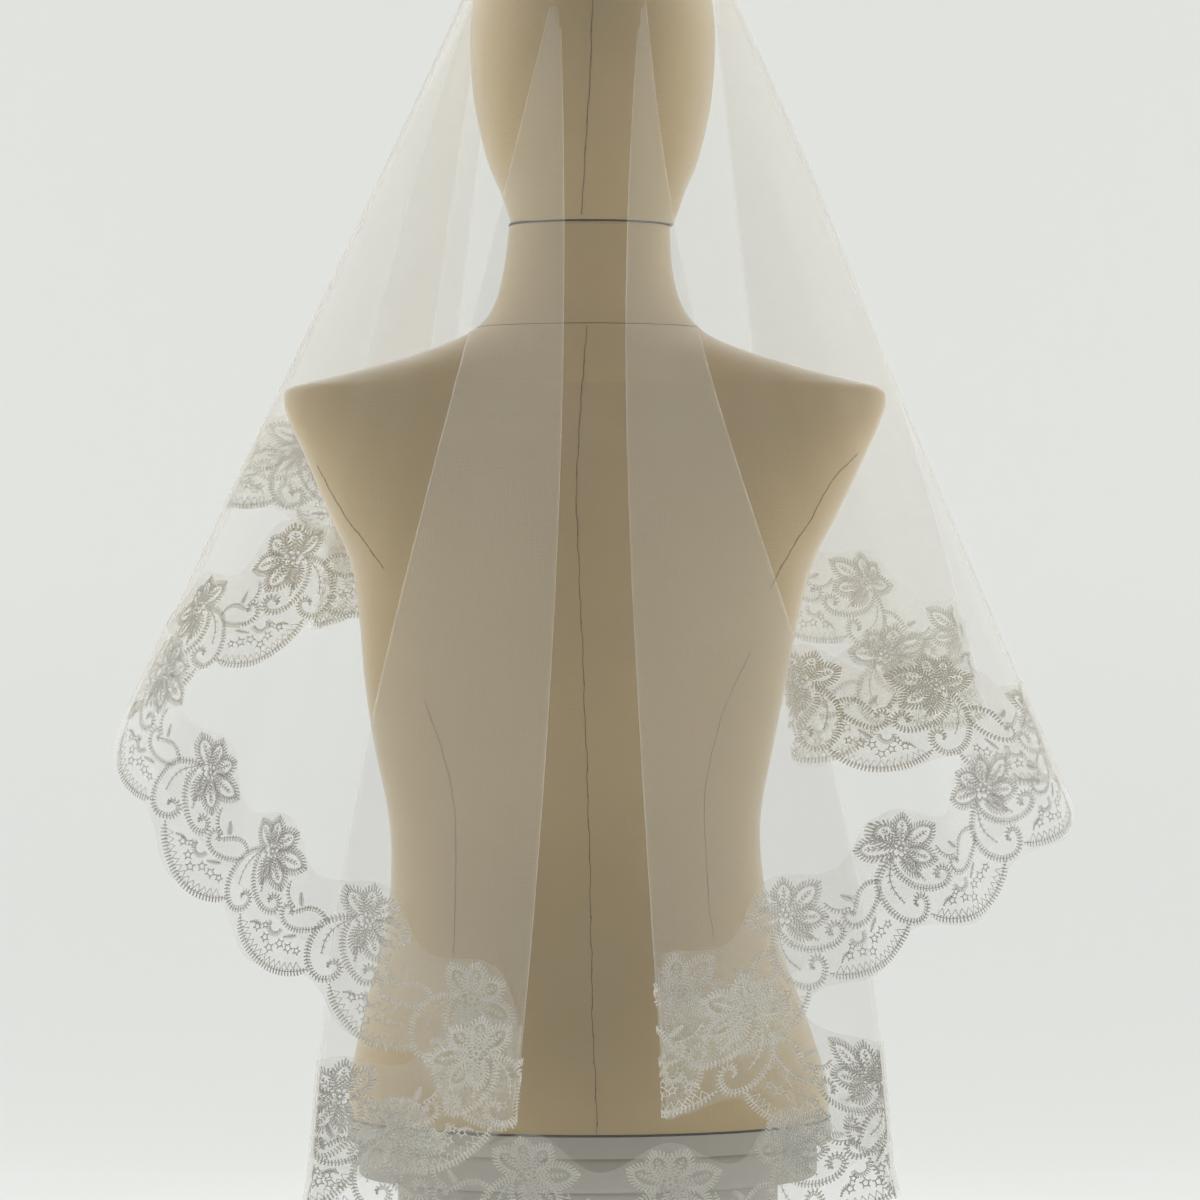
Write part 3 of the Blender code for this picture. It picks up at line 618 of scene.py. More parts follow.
def hang_lines(stretch, share, nudge=0.01):
    """Where each line of a stretch leaves the head, where it ends on the hem, and its bow and sway.

    With the egg of the head scaled to a unit ball, a straight line from the hem's point h touches it at the
    point t with t.h = 1. The direction, rise and lift of that point come last.
    """
    xyz = ("x", "y", "z")
    places = hem_curve(stretch, share, xyz)
    along = hem_curve(stretch, share + nudge, xyz) - hem_curve(stretch, share - nudge, xyz)
    out = unit(np.cross(along, -UP))
    swings = hem_curve(stretch, share, ("bow", "sway"))
    degrees, off = [between(share, [station_value(i, name) for i in stations_of(stretch)])
                    for name in ("top_deg", "off")]
    places[:, 1] += HEM_FOLD_RADIUS * between(share, [side_of_fold(stretch, end) for end in (True, False)])
    lift = FIRST_LIFT + LAYER_PITCH * between(share, [stretch.layer_start, stretch.layer_end]) + off
    radii = HEAD_RADII + lift[:, None]
    direction = np.radians(degrees)
    hem = (places - HEAD_MIDDLE) / radii
    flat = hem[:, 0] * np.cos(direction) + hem[:, 1] * np.sin(direction)
    rise = np.arctan2(hem[:, 2], flat) + np.arccos(np.clip(1 / np.hypot(flat, hem[:, 2]), -1, 1))
    tops = HEAD_MIDDLE + on_ball(direction, rise) * radii
    return tops, places + out * crease_depth(stretch, share)[:, None], swings, degrees, rise, lift


def hang(stretch, share, down):
    """The sheet's points at shares along a stretch and down its lines.

    Each point is top + (hem - top) d, moved sideways by bow 4 d (1 - d) and by sway sin(2 pi d).
    """
    tops, hem, swings = hang_lines(stretch, share)[:3]
    down = np.broadcast_to(down, (len(share), np.shape(down)[-1]))
    points = tops[:, None] + (hem - tops)[:, None] * down[:, :, None]
    inside = np.clip(down, 0, 1)
    bow, sway = swings[:, :1], swings[:, 1:]
    points[:, :, 0] += bow * 4 * inside * (1 - inside) + sway * np.sin(2 * np.pi * inside)
    return points


def turn(stretch, at_start, share, down):
    """Lines round a fold, on a half circle from one layer's edge line to the next one's."""
    down = np.broadcast_to(down, (len(share), np.shape(down)[-1]))
    edge = np.zeros(len(share)) if at_start else np.ones(len(share))
    own = hang(stretch, edge, down)
    other = hang(neighbour(stretch, at_start), 1 - edge, down)
    sign = 1 if "root" in (stretch.start if at_start else stretch.end) else -1
    start, end = (other, own) if at_start else (own, other)
    half = (start - end) / 2
    radius = np.linalg.norm(half[:, :, :2], axis=2)[:, :, None]
    trim = SEAM_GAP / radius
    angle = share[:, None, None] * (math.pi - trim) + (trim if at_start else 0)
    across = -half[:, :, :2] / radius
    tip = np.stack([across[:, :, 1] * sign, -across[:, :, 0] * sign, np.zeros(across.shape[:2])], axis=2)
    return (start + end) / 2 + half * np.cos(angle) + tip * radius * np.sin(angle)


Lines = namedtuple("Lines", "first along last")


def lines_of(stretch, step, samples=40):
    """The lines of a stretch: round its first fold, along it and round its last fold, as shares of each."""
    ends = hang(stretch, np.linspace(0, 1, samples), np.array([1.0]))[:, 0]
    along = np.linspace(0, 1, max(4, math.ceil(length_of(ends) / step)) + 1)
    turned = np.linspace(0, 1, TURN_FACES + 1)
    if not stretch.under:
        return Lines(turned[:0], along, turned[:0])
    return Lines(turned[:-1], along, turned[1:])


def cloth(stretch, lines, down):
    """The stretch's points on its lines, at shares down them that may differ from line to line."""
    count = sum(len(part) for part in lines)
    down = np.broadcast_to(down, (count, np.shape(down)[-1]))
    first, last = len(lines.first), count - len(lines.last)
    parts = [hang(stretch, lines.along, down[first:last])]
    if first:
        parts.insert(0, turn(stretch, True, lines.first, down[:first]))
        parts.append(turn(stretch, False, lines.last, down[last:]))
    return np.concatenate(parts)


def outward(grid):
    """The sheet's outer direction at each point: the cross product of the ways across and down the grid."""
    return unit(np.cross(np.gradient(grid, axis=0), np.gradient(grid, axis=1)))


def line_lengths(stretch, lines):
    """The straight length of each line, from the head to the hem."""
    ends = cloth(stretch, lines, np.array([0.0, 1.0]))
    return np.linalg.norm(ends[:, 1] - ends[:, 0], axis=1)


def spread(grid):
    """Texture coordinates in metres of cloth: along the hem and down each line."""
    along, down = run_of(grid[:, -1]), run_of(grid[0])
    return np.stack(np.meshgrid(along, down, indexing="ij"), axis=-1).reshape(-1, 2)


def cut_of(grid):
    """A stretch's flat cut: as wide as its hem and as long as its mean line, with its own area."""
    hem, top = length_of(grid[:, -1]), length_of(grid[:, 0])
    length = np.linalg.norm(grid[:, -1] - grid[:, 0], axis=1).mean()
    return (hem, length), (hem + top) / 2 * length


def tulle_grid(stretch):
    """The tulle of a stretch, from the crown's rim to where its edge is cut under the lace."""
    lines = lines_of(stretch, HEM_STEP)
    bottom = 1 - CUT_EDGE / line_lengths(stretch, lines)
    top = UNDER_TOP if stretch.under else 0.0
    return cloth(stretch, lines, top + (bottom - top)[:, None] * np.linspace(0, 1, SHEET_ROWS + 1))


def crown_grid(samples=60, pole=0.002, slack=0.001):
    """The sheet on the head: points of an egg just outside it, down to where the stretches leave.

    Its rim's height and lift at each direction come from the stretches, softened over a few degrees. Its lift
    grows with the cube of the way down to the rim.
    """
    shares = np.linspace(0, 1, samples)
    open_stretches = [stretch for stretch in STRETCHES if not stretch.under]
    table = [np.stack(hang_lines(stretch, shares)[3:], axis=1) for stretch in open_stretches]
    degrees, rises, lifts = np.concatenate(table).T
    direction = np.linspace(0, -360, CROWN_FACES, endpoint=False)
    apart = np.abs((degrees - direction[:, None] + 180) % 360 - 180)
    weight = np.exp(-((apart / RIM_SOFTNESS) ** 2))
    weight /= weight.sum(axis=1)[:, None]
    rise = weight @ rises
    lift = np.maximum(weight @ lifts, np.where(apart < RIM_REACH, lifts, 0).max(axis=1) - slack)
    part = np.linspace(pole, 1, CROWN_ROWS)
    height = math.pi / 2 + (rise[:, None] - math.pi / 2) * part
    raised = FIRST_LIFT + (lift[:, None] - FIRST_LIFT) * part**3
    turned = np.broadcast_to(np.radians(direction)[:, None], height.shape)
    return HEAD_MIDDLE + on_ball(turned, height) * (HEAD_RADII + raised[:, :, None])


# The lace


def lobes(place, middle):
    """A row of rounded lobes, one to a repeat: 0 halfway between two and 1 at the middle of each."""
    return 0.5 + 0.5 * np.cos(2 * math.pi * (place - middle))


def repeats(stretch, lines):
    """The number of the lace's repeats along the hem up to each line's end."""
    numbers = stations_of(stretch)
    at_ends = [is_fold(stretch.start) * FOLD_REPEAT, -is_fold(stretch.end) * FOLD_REPEAT]
    turned = [-FOLD_REPEAT, FOLD_REPEAT]
    along = hem_curve(stretch, lines.along, ("lace",))[:, 0] + between(lines.along, at_ends)
    first = station_value(numbers[0], "lace") + between(lines.first, turned)
    last = station_value(numbers[-1], "lace") + between(lines.last, turned)
    return np.concatenate([first, along, last])


Lay = namedtuple("Lay", "lines counts lengths cosine sine repeat")


def lay_of(stretch):
    """What the lace needs to know of each line: its place on the hem, its length and its lean along the hem.

    A stretch between two folds is narrow, so all its lines are given their mean lean.
    """
    lines = lines_of(stretch, NET_STEP)
    ends = cloth(stretch, lines, np.array([LEAN_FROM, 1.0]))
    up = ends[:, 0] - ends[:, 1]
    hem = np.gradient(ends[:, 1], axis=0)
    cosine = (up * hem).sum(axis=1) / np.linalg.norm(up, axis=1) / np.linalg.norm(hem, axis=1)
    if stretch.under:
        cosine = np.full(len(cosine), cosine[len(lines.first):len(cosine) - len(lines.last)].mean())
    counts = repeats(stretch, lines)
    repeat = length_of(ends[:, 1]) / (counts[-1] - counts[0])
    return Lay(lines, counts, line_lengths(stretch, lines), cosine, np.sqrt(1 - cosine**2), repeat)


def net_grid(stretch):
    """The lace's net, from its domed top to its scalloped hem, just outside the tulle.

    It is as wide square to the hem everywhere, so it goes further up a line that leans along the hem.
    """
    lay = lay_of(stretch)
    high = np.full(len(lay.counts), NET_TOP * MM)
    low = np.full(len(lay.counts), NET_BOTTOM * MM)
    slide = lay.cosine / lay.sine / lay.repeat
    for _ in range(EDGE_PASSES):
        domes = lobes(lay.counts + high * slide, 1 - DOME_MIDDLE / REPEAT)
        scallops = lobes(lay.counts + low * slide, 1 - SCALLOP_MIDDLE / REPEAT)
        high = (NET_TOP + DOME_HEIGHT * domes) * MM
        low = (NET_BOTTOM - SCALLOP_DEPTH * scallops) * MM
    top, bottom = [edge / lay.sine / lay.lengths for edge in (high, low)]
    grid = cloth(stretch, lay.lines, 1 - np.linspace(top, bottom, NET_ROWS + 1, axis=1))
    return grid + outward(grid) * LACE_STAND


def cut_of_net(stretch):
    """The edging's flat cut: a strip as long as the hem, with lobes along both its edges."""
    lay = lay_of(stretch)
    around = lay.repeat * (lay.counts[-1] - lay.counts[0])
    tall = (NET_TOP + DOME_HEIGHT - NET_BOTTOM + SCALLOP_DEPTH) * MM
    lobed = (DOME_HEIGHT + SCALLOP_DEPTH) / 2 * MM
    return (around, tall), around * (tall - lobed)


Chart = namedtuple("Chart", "start step places normals first last")


def chart_of(stretch, nudge=1e-7):
    """The lace's surface as an even grid over repeats along the hem and millimetres up from it."""
    lay = lay_of(stretch)
    up = CHART_LEVELS[None] * MM / lay.sine[:, None]
    grid = cloth(stretch, lay.lines, 1 - up / lay.lengths[:, None])
    counts = lay.counts[:, None] + up * lay.cosine[:, None] / lay.repeat
    counts = np.maximum.accumulate(counts, axis=0) + np.arange(len(counts))[:, None] * nudge
    start, end = counts.min(), counts.max()
    even = np.linspace(start, end, math.ceil((end - start) * CHART_FINENESS) + 1)

    def resample(values):
        """A level at a time, the values at even places along the hem."""
        levels = [[np.interp(even, count, value) for value in level.T]
                  for count, level in zip(counts.T, values.transpose(1, 0, 2))]
        return np.array(levels).transpose(2, 0, 1)

    return Chart(start, even[1] - even[0], resample(grid), resample(outward(grid)), counts[0], counts[-1])


def lay_on(chart, counts, v, height):
    """Points at a place on the lace's chart and a height out of it, read straight between grid points."""
    inside = 1.001
    across = np.clip((counts - chart.start) / chart.step, 0, len(chart.places) - inside)
    up = np.clip((v - CHART_LOW) / CHART_STEP, 0, chart.places.shape[1] - inside)
    i, j = across.astype(int), up.astype(int)
    s, t = (across - i)[:, None], (up - j)[:, None]

    def read(grid):
        """The grid's values between the four points round each place."""
        below = grid[i, j] * (1 - s) + grid[i + 1, j] * s
        above = grid[i, j + 1] * (1 - s) + grid[i + 1, j + 1] * s
        return below * (1 - t) + above * t

    return read(chart.places) + unit(read(chart.normals)) * height[:, None]


# The embroidery. A stitch is a row of numbers: its start and end on the chart and its width at each.


def stitches(start, end, width_start, width_end):
    """Stitches from arrays of their start and end places, with widths as shares of the thread's."""
    widths = [np.full(len(start), width) for width in (width_start, width_end)]
    return np.column_stack([start, end, *widths])


def rays(angle):
    """The direction at each angle on the chart: (cos a, sin a)."""
    return np.stack([np.cos(angle), np.sin(angle)], axis=1)


def spine(path, width):
    """A line of running stitches, each from one point of a path to the next."""
    return stitches(path[:-1], path[1:], width, width)


def comb(points, left, right, lean=0.25, pitch=BARB_PITCH, width=1.0, ends=(0.35, 0.35)):
    """A spine with barbs across it, which lean the way that it runs.

    The barbs are shorter at both ends: ends gives the share of their reach there.
    """
    path, way = smooth_path(points, pitch)
    beside = left_of(way)
    share = np.linspace(0, 1, len(path))
    growing = np.minimum(ends[0] + share * BARB_GROWTH, ends[1] + (1 - share) * BARB_GROWTH)
    swell = np.minimum(1, growing)[:, None]
    rows = [spine(smooth_path(points, SPINE_STEP)[0], SPINE_WIDTH * width)]
    for reach, barb in ((left, beside + way * lean), (right, way * lean - beside)):
        if reach:
            rows.append(stitches(path, path + barb * reach * swell, BARB_WIDTH * width, BARB_WIDTH * width))
    return np.concatenate(rows)


def leaf(row):
    """A feathered leaf: two combs for its edges and one for its vein.

    Its edges are beside its middle line by a share of w sin(pi t^skew)^fullness.
    """
    angle = math.radians(row.degrees)
    way = np.array([math.cos(angle), math.sin(angle)])
    beside = np.array([-way[1], way[0]])
    t = np.linspace(0, 1, LEAF_POINTS)
    half = row.width / 2 * np.sin(math.pi * t**LEAF_SKEW) ** LEAF_FULLNESS
    reach = LEAF_START + (row.length - LEAF_START - LEAF_SHORT) * t
    middle = np.array(FLOWER_MIDDLE) + way * reach[:, None]
    aside = beside * half[:, None] * LEAF_INSET
    vein = np.array([VEIN_START, row.length * VEIN_MIDDLE, row.length * VEIN_END])
    outer, inner = LEAF_BARBS
    edge = {"lean": 0.6, "pitch": 1.75, "ends": (0.6, 1.0)}
    return np.concatenate([
        comb((middle + aside)[1:], outer, inner, **edge),
        comb((middle - aside)[1:], inner, outer, **edge),
        comb(np.array(FLOWER_MIDDLE) + way * vein[:, None], 1.5, 1.5, lean=1.0, pitch=2.3, width=0.85),
    ])


def twig(row):
    """A thin stem with pairs of small barbs that lean forwards."""
    points = np.column_stack([row.u, row.v])
    path, way = smooth_path(points, row.pitch)
    share = np.linspace(0, 1, len(path))[:, None]
    reach = row.barb * (TWIG_END_REACH + (1 - TWIG_END_REACH) * np.sin(math.pi * share))
    rows = [spine(smooth_path(points, SPINE_STEP)[0], width=0.75)]
    for side in (TWIG_BESIDE, -TWIG_BESIDE):
        barb = left_of(way) * side + way * TWIG_ALONG
        rows.append(stitches(path, path + barb * reach, width_start=0.8, width_end=0.6))
    return np.concatenate(rows)


def blossom(row):
    """A ring of stitches with a point outside every other one."""
    number = np.arange(BLOSSOM_STITCHES + 1)
    ring = rays(np.linspace(0, 2 * math.pi, BLOSSOM_STITCHES + 1) + row.u)
    middle = np.array([row.u, row.v])
    line = middle + ring * (row.radius * np.take(BLOSSOM_RING, number % 2))[:, None]
    tips = middle + ring[:-1:2] * row.radius * BLOSSOM_POINT
    points = stitches(line[:-1:2], tips, width_start=1.1, width_end=0.9)
    return np.concatenate([spine(line, width=0.9), points])


def fan(row):
    """Stitches that stand out from a middle like rays."""
    ray = rays(np.radians(np.linspace(row.start, row.end, row.rays)))
    middle = np.array([row.u, row.v])
    return stitches(middle + ray * row.inner, middle + ray * row.outer, width_start=0.9, width_end=0.65)


def border():
    """The scalloped edge: a comb along the hem with a row of thin pointed teeth on its inner side."""
    points = np.column_stack([BORDER_U, BORDER_V])
    path, way = smooth_path(points, step=1.0)
    number = np.arange(2 * BORDER_TEETH + 1)
    place = np.linspace(TOOTH_FIRST, TOOTH_LAST, len(number)) * (len(path) - 1)
    foot, up = [np.stack([np.interp(place, np.arange(len(path)), values[:, i]) for i in (0, 1)], axis=1)
                for values in (path, left_of(way))]
    height = np.where(number % 2, TOOTH_HEIGHT, TOOTH_FOOT)[:, None]
    return np.concatenate([comb(points, 1.5, 2.9, lean=0.1), spine(foot + up * height, width=0.5)])


def motif():
    """One repeat of the embroidery as stitches on the chart."""
    rows = [leaf(row) for row in LEAVES]
    rows += [comb(np.column_stack([row.u, row.v]), row.left, row.right) for row in SCROLLS]
    rows += [twig(row) for row in TWIGS]
    rows += [blossom(row) for row in BLOSSOMS]
    rows += [fan(row) for row in FANS]
    rows.append(border())
    return np.concatenate(rows)


def embroidery(stretch, pattern, width, height):
    """The stretch's stitches as low roofs of thread: two slopes from the net up to a ridge.

    A roof has six corners: left, ridge and right at its start, and the same at its end. Its texture
    coordinates are millimetres along the stitch and the share across it.
    """
    chart = chart_of(stretch)
    numbers = np.arange(math.floor(chart.first.min()), math.ceil(chart.last.max()) + 2)
    rows = np.tile(pattern, (len(numbers), 1))
    base = np.repeat(numbers, len(pattern))
    middle = (rows[:, :2] + rows[:, 2:4]) / 2
    counts = base - middle[:, 0] / REPEAT
    first, last = [np.interp(middle[:, 1], CHART_LEVELS, edge) for edge in (chart.first, chart.last)]
    inside = (counts > first) & (counts < last)
    rows, base = rows[inside], base[inside]
    start, end = rows[:, :2], rows[:, 2:4]
    beside = left_of(unit(end - start)) * width / MM / 2
    sides = np.array([[1.0], [0.0], [-1.0]])
    corners = np.concatenate([
        place[:, None] + (beside * share[:, None])[:, None] * sides
        for place, share in ((start, rows[:, 4]), (end, rows[:, 5]))], axis=1)
    counts = base[:, None] - corners[:, :, 0] / REPEAT
    stand = np.tile(STITCH_STAND + height * np.array([0.0, 1.0, 0.0]), 2 * len(rows))
    points = lay_on(chart, counts.ravel(), corners[:, :, 1].ravel(), stand)
    corner = np.arange(len(rows))[:, None] * 6
    faces = np.concatenate([corner + [0, 3, 4, 1], corner + [1, 4, 5, 2]])
    along = np.linalg.norm(end - start, axis=1)[:, None] * np.repeat([0.0, 1.0], 3)
    uv = np.stack([along, np.broadcast_to(np.tile([1.0, 0.5, 0.0], 2), along.shape)], axis=2)
    return points, faces, uv.reshape(-1, 2)


# Materials


class Term:
    """A number or place in a node tree. Python's signs on it add Math nodes."""

    def __init__(self, nodes, socket):
        self.nodes = nodes
        self.socket = socket

    def __add__(self, other):
        return self.nodes.calc("ADD", self, other)

    def __radd__(self, other):
        return self.nodes.calc("ADD", other, self)

    def __sub__(self, other):
        return self.nodes.calc("SUBTRACT", self, other)

    def __rsub__(self, other):
        return self.nodes.calc("SUBTRACT", other, self)

    def __mul__(self, other):
        return self.nodes.calc("MULTIPLY", self, other)


class Nodes:
    """Short words for a node tree. An input takes a plain value or a term."""

    def __init__(self, tree):
        self.tree = tree

    def fill(self, node, inputs):
        """Sets a node's inputs, each by its name or number."""
        for key, value in inputs.items():
            if isinstance(value, Term):
                self.tree.links.new(value.socket, node.inputs[key])
            else:
                node.inputs[key].default_value = value

    def add(self, kind, inputs, output=0, **settings):
        """One output of a new node, which gets these inputs and settings."""
        node = self.tree.nodes.new("ShaderNode" + kind)
        for name, value in settings.items():
            setattr(node, name, value)
        self.fill(node, inputs)
        return Term(self, node.outputs[output])

    def calc(self, operation, *values):
        """The result of a sum."""
        return self.add("Math", dict(enumerate(values)), operation=operation)

    def split(self, place):
        """The x, y and z of a place."""
        node = self.tree.nodes.new("ShaderNodeSeparateXYZ")
        self.fill(node, {"Vector": place})
        return [Term(self, output) for output in node.outputs]

    def on_object(self):
        """The place on the whole object, in metres, and its x, y and z."""
        place = self.add("TexCoord", {}, output="Object")
        return place, *self.split(place)

    def on_cloth(self):
        """The place on the piece's own texture coordinates, along them and across."""
        place = self.add("UVMap", {}, uv_map="cloth")
        return place, *self.split(place)[:2]

    def blend(self, factor, low, high):
        """A colour between two. A Mix node's colours are its inputs 6 and 7 and its third output."""
        return self.add("Mix", {0: factor, 6: (*low, 1.0), 7: (*high, 1.0)}, output=2, data_type="RGBA")

    def noise(self, place, scale, detail, **more):
        """A cloud of noise from 0 to 1."""
        return self.add("TexNoise", {"Vector": place, "Scale": scale, "Detail": detail, **more})

    def bump(self, height, strength, distance):
        """A normal that follows a height."""
        return self.add("Bump", {"Height": height, "Strength": strength, "Distance": distance})


def blank(name):
    """A new material, its nodes and its one Principled shader."""
    material = bpy.data.materials.new(name)
    material.use_nodes = True
    return material, Nodes(material.node_tree), material.node_tree.nodes["Principled BSDF"]


def scaled(colour, share):
    """A colour made darker or lighter by a share."""
    return tuple(min(1.0, c * share) for c in colour)


def net_material(name, colour, cover, mesh):
    """Sheer net: its cover varies with two crossed rows of thread, and grows where it is seen edge on, where
    its colour is also darkened as painted shade.
    """
    material, nodes, shader = blank(name)
    place, along, across = nodes.on_cloth()
    rows = [nodes.calc("ABSOLUTE", nodes.calc("SINE", slanted * (math.pi / mesh)))
            for slanted in (along + across, along - across)]
    thread_cover, hole_depth = 1.1, 0.25
    weave = thread_cover - rows[0] * rows[1] * hole_depth
    least_patch, patch_rise = 0.86, 0.28
    patch = least_patch + nodes.noise(place, scale=16.0, detail=3.0) * patch_rise
    edge_on = nodes.calc("POWER", nodes.add("LayerWeight", {"Blend": 0.5}, output="Facing"), EDGE_POWER)
    nodes.fill(shader, {
        # Painted shade: the net's colour darkens where it is seen edge on
        "Base Color": nodes.blend(edge_on, colour, scaled(colour, EDGE_PAINTED_SHADE)),
        "Alpha": nodes.calc("MINIMUM", weave * patch * cover + edge_on * EDGE_COVER, 1.0),
        "Roughness": 0.75,
        "Specular IOR Level": 0.25,
    })
    return material


def thread_material(colour, shade):
    """Embroidery thread with a soft gloss and a twist along each stitch. Past the form's sides its colour
    darkens as painted shade, for backlit thread seen from its unlit side.
    """
    material, nodes, shader = blank("embroidery thread")
    _, along, across = nodes.on_cloth()
    slant, turns = 0.4, 14.0
    twist = nodes.calc("SINE", (along + across * slant) * turns)
    where, x, _, _ = nodes.on_object()
    # Painted shade: past the form's sides the thread's colour darkens towards the shade share, with a random
    # mottle on top
    beside = (nodes.calc("ABSOLUTE", x) - THREAD_PAINTED_SHADE_FROM) * (1 / THREAD_PAINTED_SHADE_OVER)
    painted_shade_share = nodes.calc("MAXIMUM", nodes.calc("MINIMUM", beside, 1.0), 0.0)
    mottle = 0.4
    tone = painted_shade_share + (nodes.noise(where, scale=300.0, detail=2.0) - 0.5) * mottle
    nodes.fill(shader, {
        "Base Color": nodes.blend(tone, colour, scaled(colour, shade)),
        "Normal": nodes.bump(twist, strength=0.35, distance=0.0002),
        "Roughness": 0.42,
        "Specular IOR Level": 0.45,
        "Sheen Weight": 0.2,
    })
    return material


def canvas_material(name, colour, pitch):
    """Woven canvas: two crossed rows of thread, slubs along them, and slow stains of tone."""
    material, nodes, shader = blank(name)
    where, x, y, z = nodes.on_object()
    slant = 0.6
    warp, weft = [nodes.calc("SINE", way * (2 * math.pi / pitch)) for way in (x + y * slant, z)]
    warp_height, weft_height = 0.6, 0.3
    weave = warp * warp_height + weft * weft_height
    upright, level = [nodes.noise(nodes.add("Mapping", {"Vector": where, "Scale": scale}), 1.0, detail)
                      for scale, detail in (((620.0, 620.0, 34.0), 2.0), ((90.0, 90.0, 700.0), 1.0))]
    upright_height, weave_share = 1.3, 0.2
    relief = weave * weave_share + (upright * upright_height + level)
    stain = nodes.noise(where, scale=9.0, detail=5.0, Roughness=0.6)
    relief_tone, stain_tone, fleck_from = 0.20, 0.62, 0.79
    flecks = nodes.calc("GREATER_THAN", nodes.noise(where, scale=330.0, detail=1.0), fleck_from)
    olive, rosy = [np.multiply(colour, tint) for tint in ((0.76, 0.81, 0.73), (1.22, 1.14, 1.19))]
    nodes.fill(shader, {
        "Base Color": nodes.blend(relief * relief_tone + stain * stain_tone - flecks, olive, rosy),
        "Normal": nodes.bump(relief, strength=0.2, distance=0.0005),
        "Roughness": 0.9,
        "Specular IOR Level": 0.2,
        "Sheen Weight": 0.9,
        "Sheen Roughness": 0.4,
    })
    return material


def plain_material(name, colour, roughness, mottle, scale):
    """A painted or stitched surface with a slight mottle of tone and gloss, and a fine grain."""
    material, nodes, shader = blank(name)
    where = nodes.on_object()[0]
    cloud = nodes.noise(where, scale, detail=4.0)
    grain_scale, gloss_change = scale * 60, 0.12
    nodes.fill(shader, {
        "Base Color": nodes.blend(cloud, scaled(colour, 1 - mottle), scaled(colour, 1 + mottle)),
        "Normal": nodes.bump(nodes.noise(where, grain_scale, detail=1.0), strength=0.12, distance=0.0004),
        "Roughness": roughness - gloss_change / 2 + cloud * gloss_change,
        "Specular IOR Level": 0.2,
    })
    return material


# The dress form


def bust_swell(aside, bust):
    """How far the bust stands out beside the middle: b exp(-((|aside| - spread) / width)^2)."""
    return np.maximum(bust, 0) * np.exp(-(((np.abs(aside) - BUST_SPREAD) / BUST_WIDTH) ** 2))


def body_rings(levels):
    """Rings of the form: x = w cos a + shift, y = d sin a, with d the depth to the front or back.

    The bust stands out in front, on top of that depth.
    """
    z, width, shift, front, back, bust = [column[:, None] for column in levels.T]
    side = np.cos(FORM_ANGLES) * width
    sine = np.sin(FORM_ANGLES)
    depth = sine * np.where(sine > 0, front + bust_swell(side, bust), back)
    return np.stack([side + shift, depth, np.broadcast_to(z, side.shape)], axis=2)


def closed_piece(name, rings, material):
    """A closed body through rings. A ring at one point closes each end, and its points are made one."""
    low, high = [np.broadcast_to(ring.mean(axis=0), (1, *ring.shape)) for ring in (rings[0], rings[-1])]
    piece = add_grid(name, np.concatenate([low, rings, high]).transpose(1, 0, 2), material, closed=True)
    merge = piece.modifiers.new("join_ends", "WELD")
    merge.merge_threshold = 0.00001
    return piece


def torso_levels(count):
    """The torso's table read at even steps."""
    return smooth_rows([TORSO[0], *TORSO, TORSO[-1]], np.linspace(0, 1, count))


def head_levels():
    """The head: the table's levels up to its widest, then an egg's upper half."""
    lower = smooth_rows([HEAD[0], *HEAD, HEAD[-1]], np.linspace(0, 1, HEAD_ROWS))
    rise = np.linspace(0, math.pi / 2, HEAD_ROWS)[1:-1]
    x_radius, y_radius, z_radius = HEAD_RADII
    height, depth = HEAD_MIDDLE[2] + z_radius * np.sin(rise), y_radius * np.cos(rise)
    upper = np.column_stack([height, x_radius * np.cos(rise), depth, depth])
    z, width, front, back = np.concatenate([lower, upper]).T
    return np.column_stack([z, width, np.full(len(z), HEAD_MIDDLE[0]), front, back, np.zeros(len(z))])


def tier_rings(tier):
    """An upright oval disc whose edges are quarter circles."""
    angle = np.linspace(0, math.pi / 2, EDGE_RINGS)
    rise, draw = tier.edge * (1 - np.cos(angle)), tier.edge * (1 - np.sin(angle))
    z = np.concatenate([tier.low + rise, tier.high - draw])
    inset = np.concatenate([draw, rise])[:, None]
    x = np.cos(FORM_ANGLES) * (tier.half_width - inset)
    y = np.sin(FORM_ANGLES) * (tier.half_depth - inset) + BASE_MIDDLE_Y
    return np.stack([x, y, np.broadcast_to(z[:, None], x.shape)], axis=2)


def depth_at(levels, x, z, side):
    """How far the form's surface stands out at a place on its front or back."""
    width, shift, front, back, bust = [np.interp(z, levels[:, 0], column) for column in levels.T[1:]]
    sine = np.sqrt(np.clip(1 - ((x - shift) / width) ** 2, 0, 1))
    return (front + bust_swell(x - shift, bust)) * sine if side > 0 else -back * sine


def seam_ribbon(seam):
    """A narrow ribbon along a seam, a hair outside the canvas, whose line wanders as a sewn one does.

    Its width swells at the stitches: in dashes on a dashed seam, and in a few knots on a plain one.
    """
    path, way = smooth_path(np.column_stack([seam.x, seam.z]), SEAM_STEP)
    along = np.arange(len(path)) * SEAM_STEP
    beside = left_of(way)
    wander = sum(wave.size * np.sin(along * wave.turns + wave.start) for wave in WANDER_WAVES)
    path = path + beside * (wander * seam.wander / 2)[:, None]
    ticks = math.prod(np.sin(along * wave.turns + wave.start) for wave in STITCH_WAVES)
    thin, dash, dash_from = 0.3, 0.7, -0.1
    plain, knot, knot_from = 0.75, 1.6, 0.88
    shape = (ticks > dash_from) * dash + thin if seam.dashed else plain + knot * (ticks > knot_from)
    half = beside * (seam.width / 2 * shape)[:, None]
    levels = head_levels() if seam.body == "head" else torso_levels(READ_ROWS)
    rows = []
    for edge, lift in zip((path + half, path, path - half), RIBBON_LIFTS):
        x, z = edge.T
        rows.append(np.stack([x, depth_at(levels, x, z, seam.side) + seam.side * lift, z], axis=1))
    grid = np.stack(rows, axis=1)
    return grid if seam.side > 0 else grid[:, ::-1]


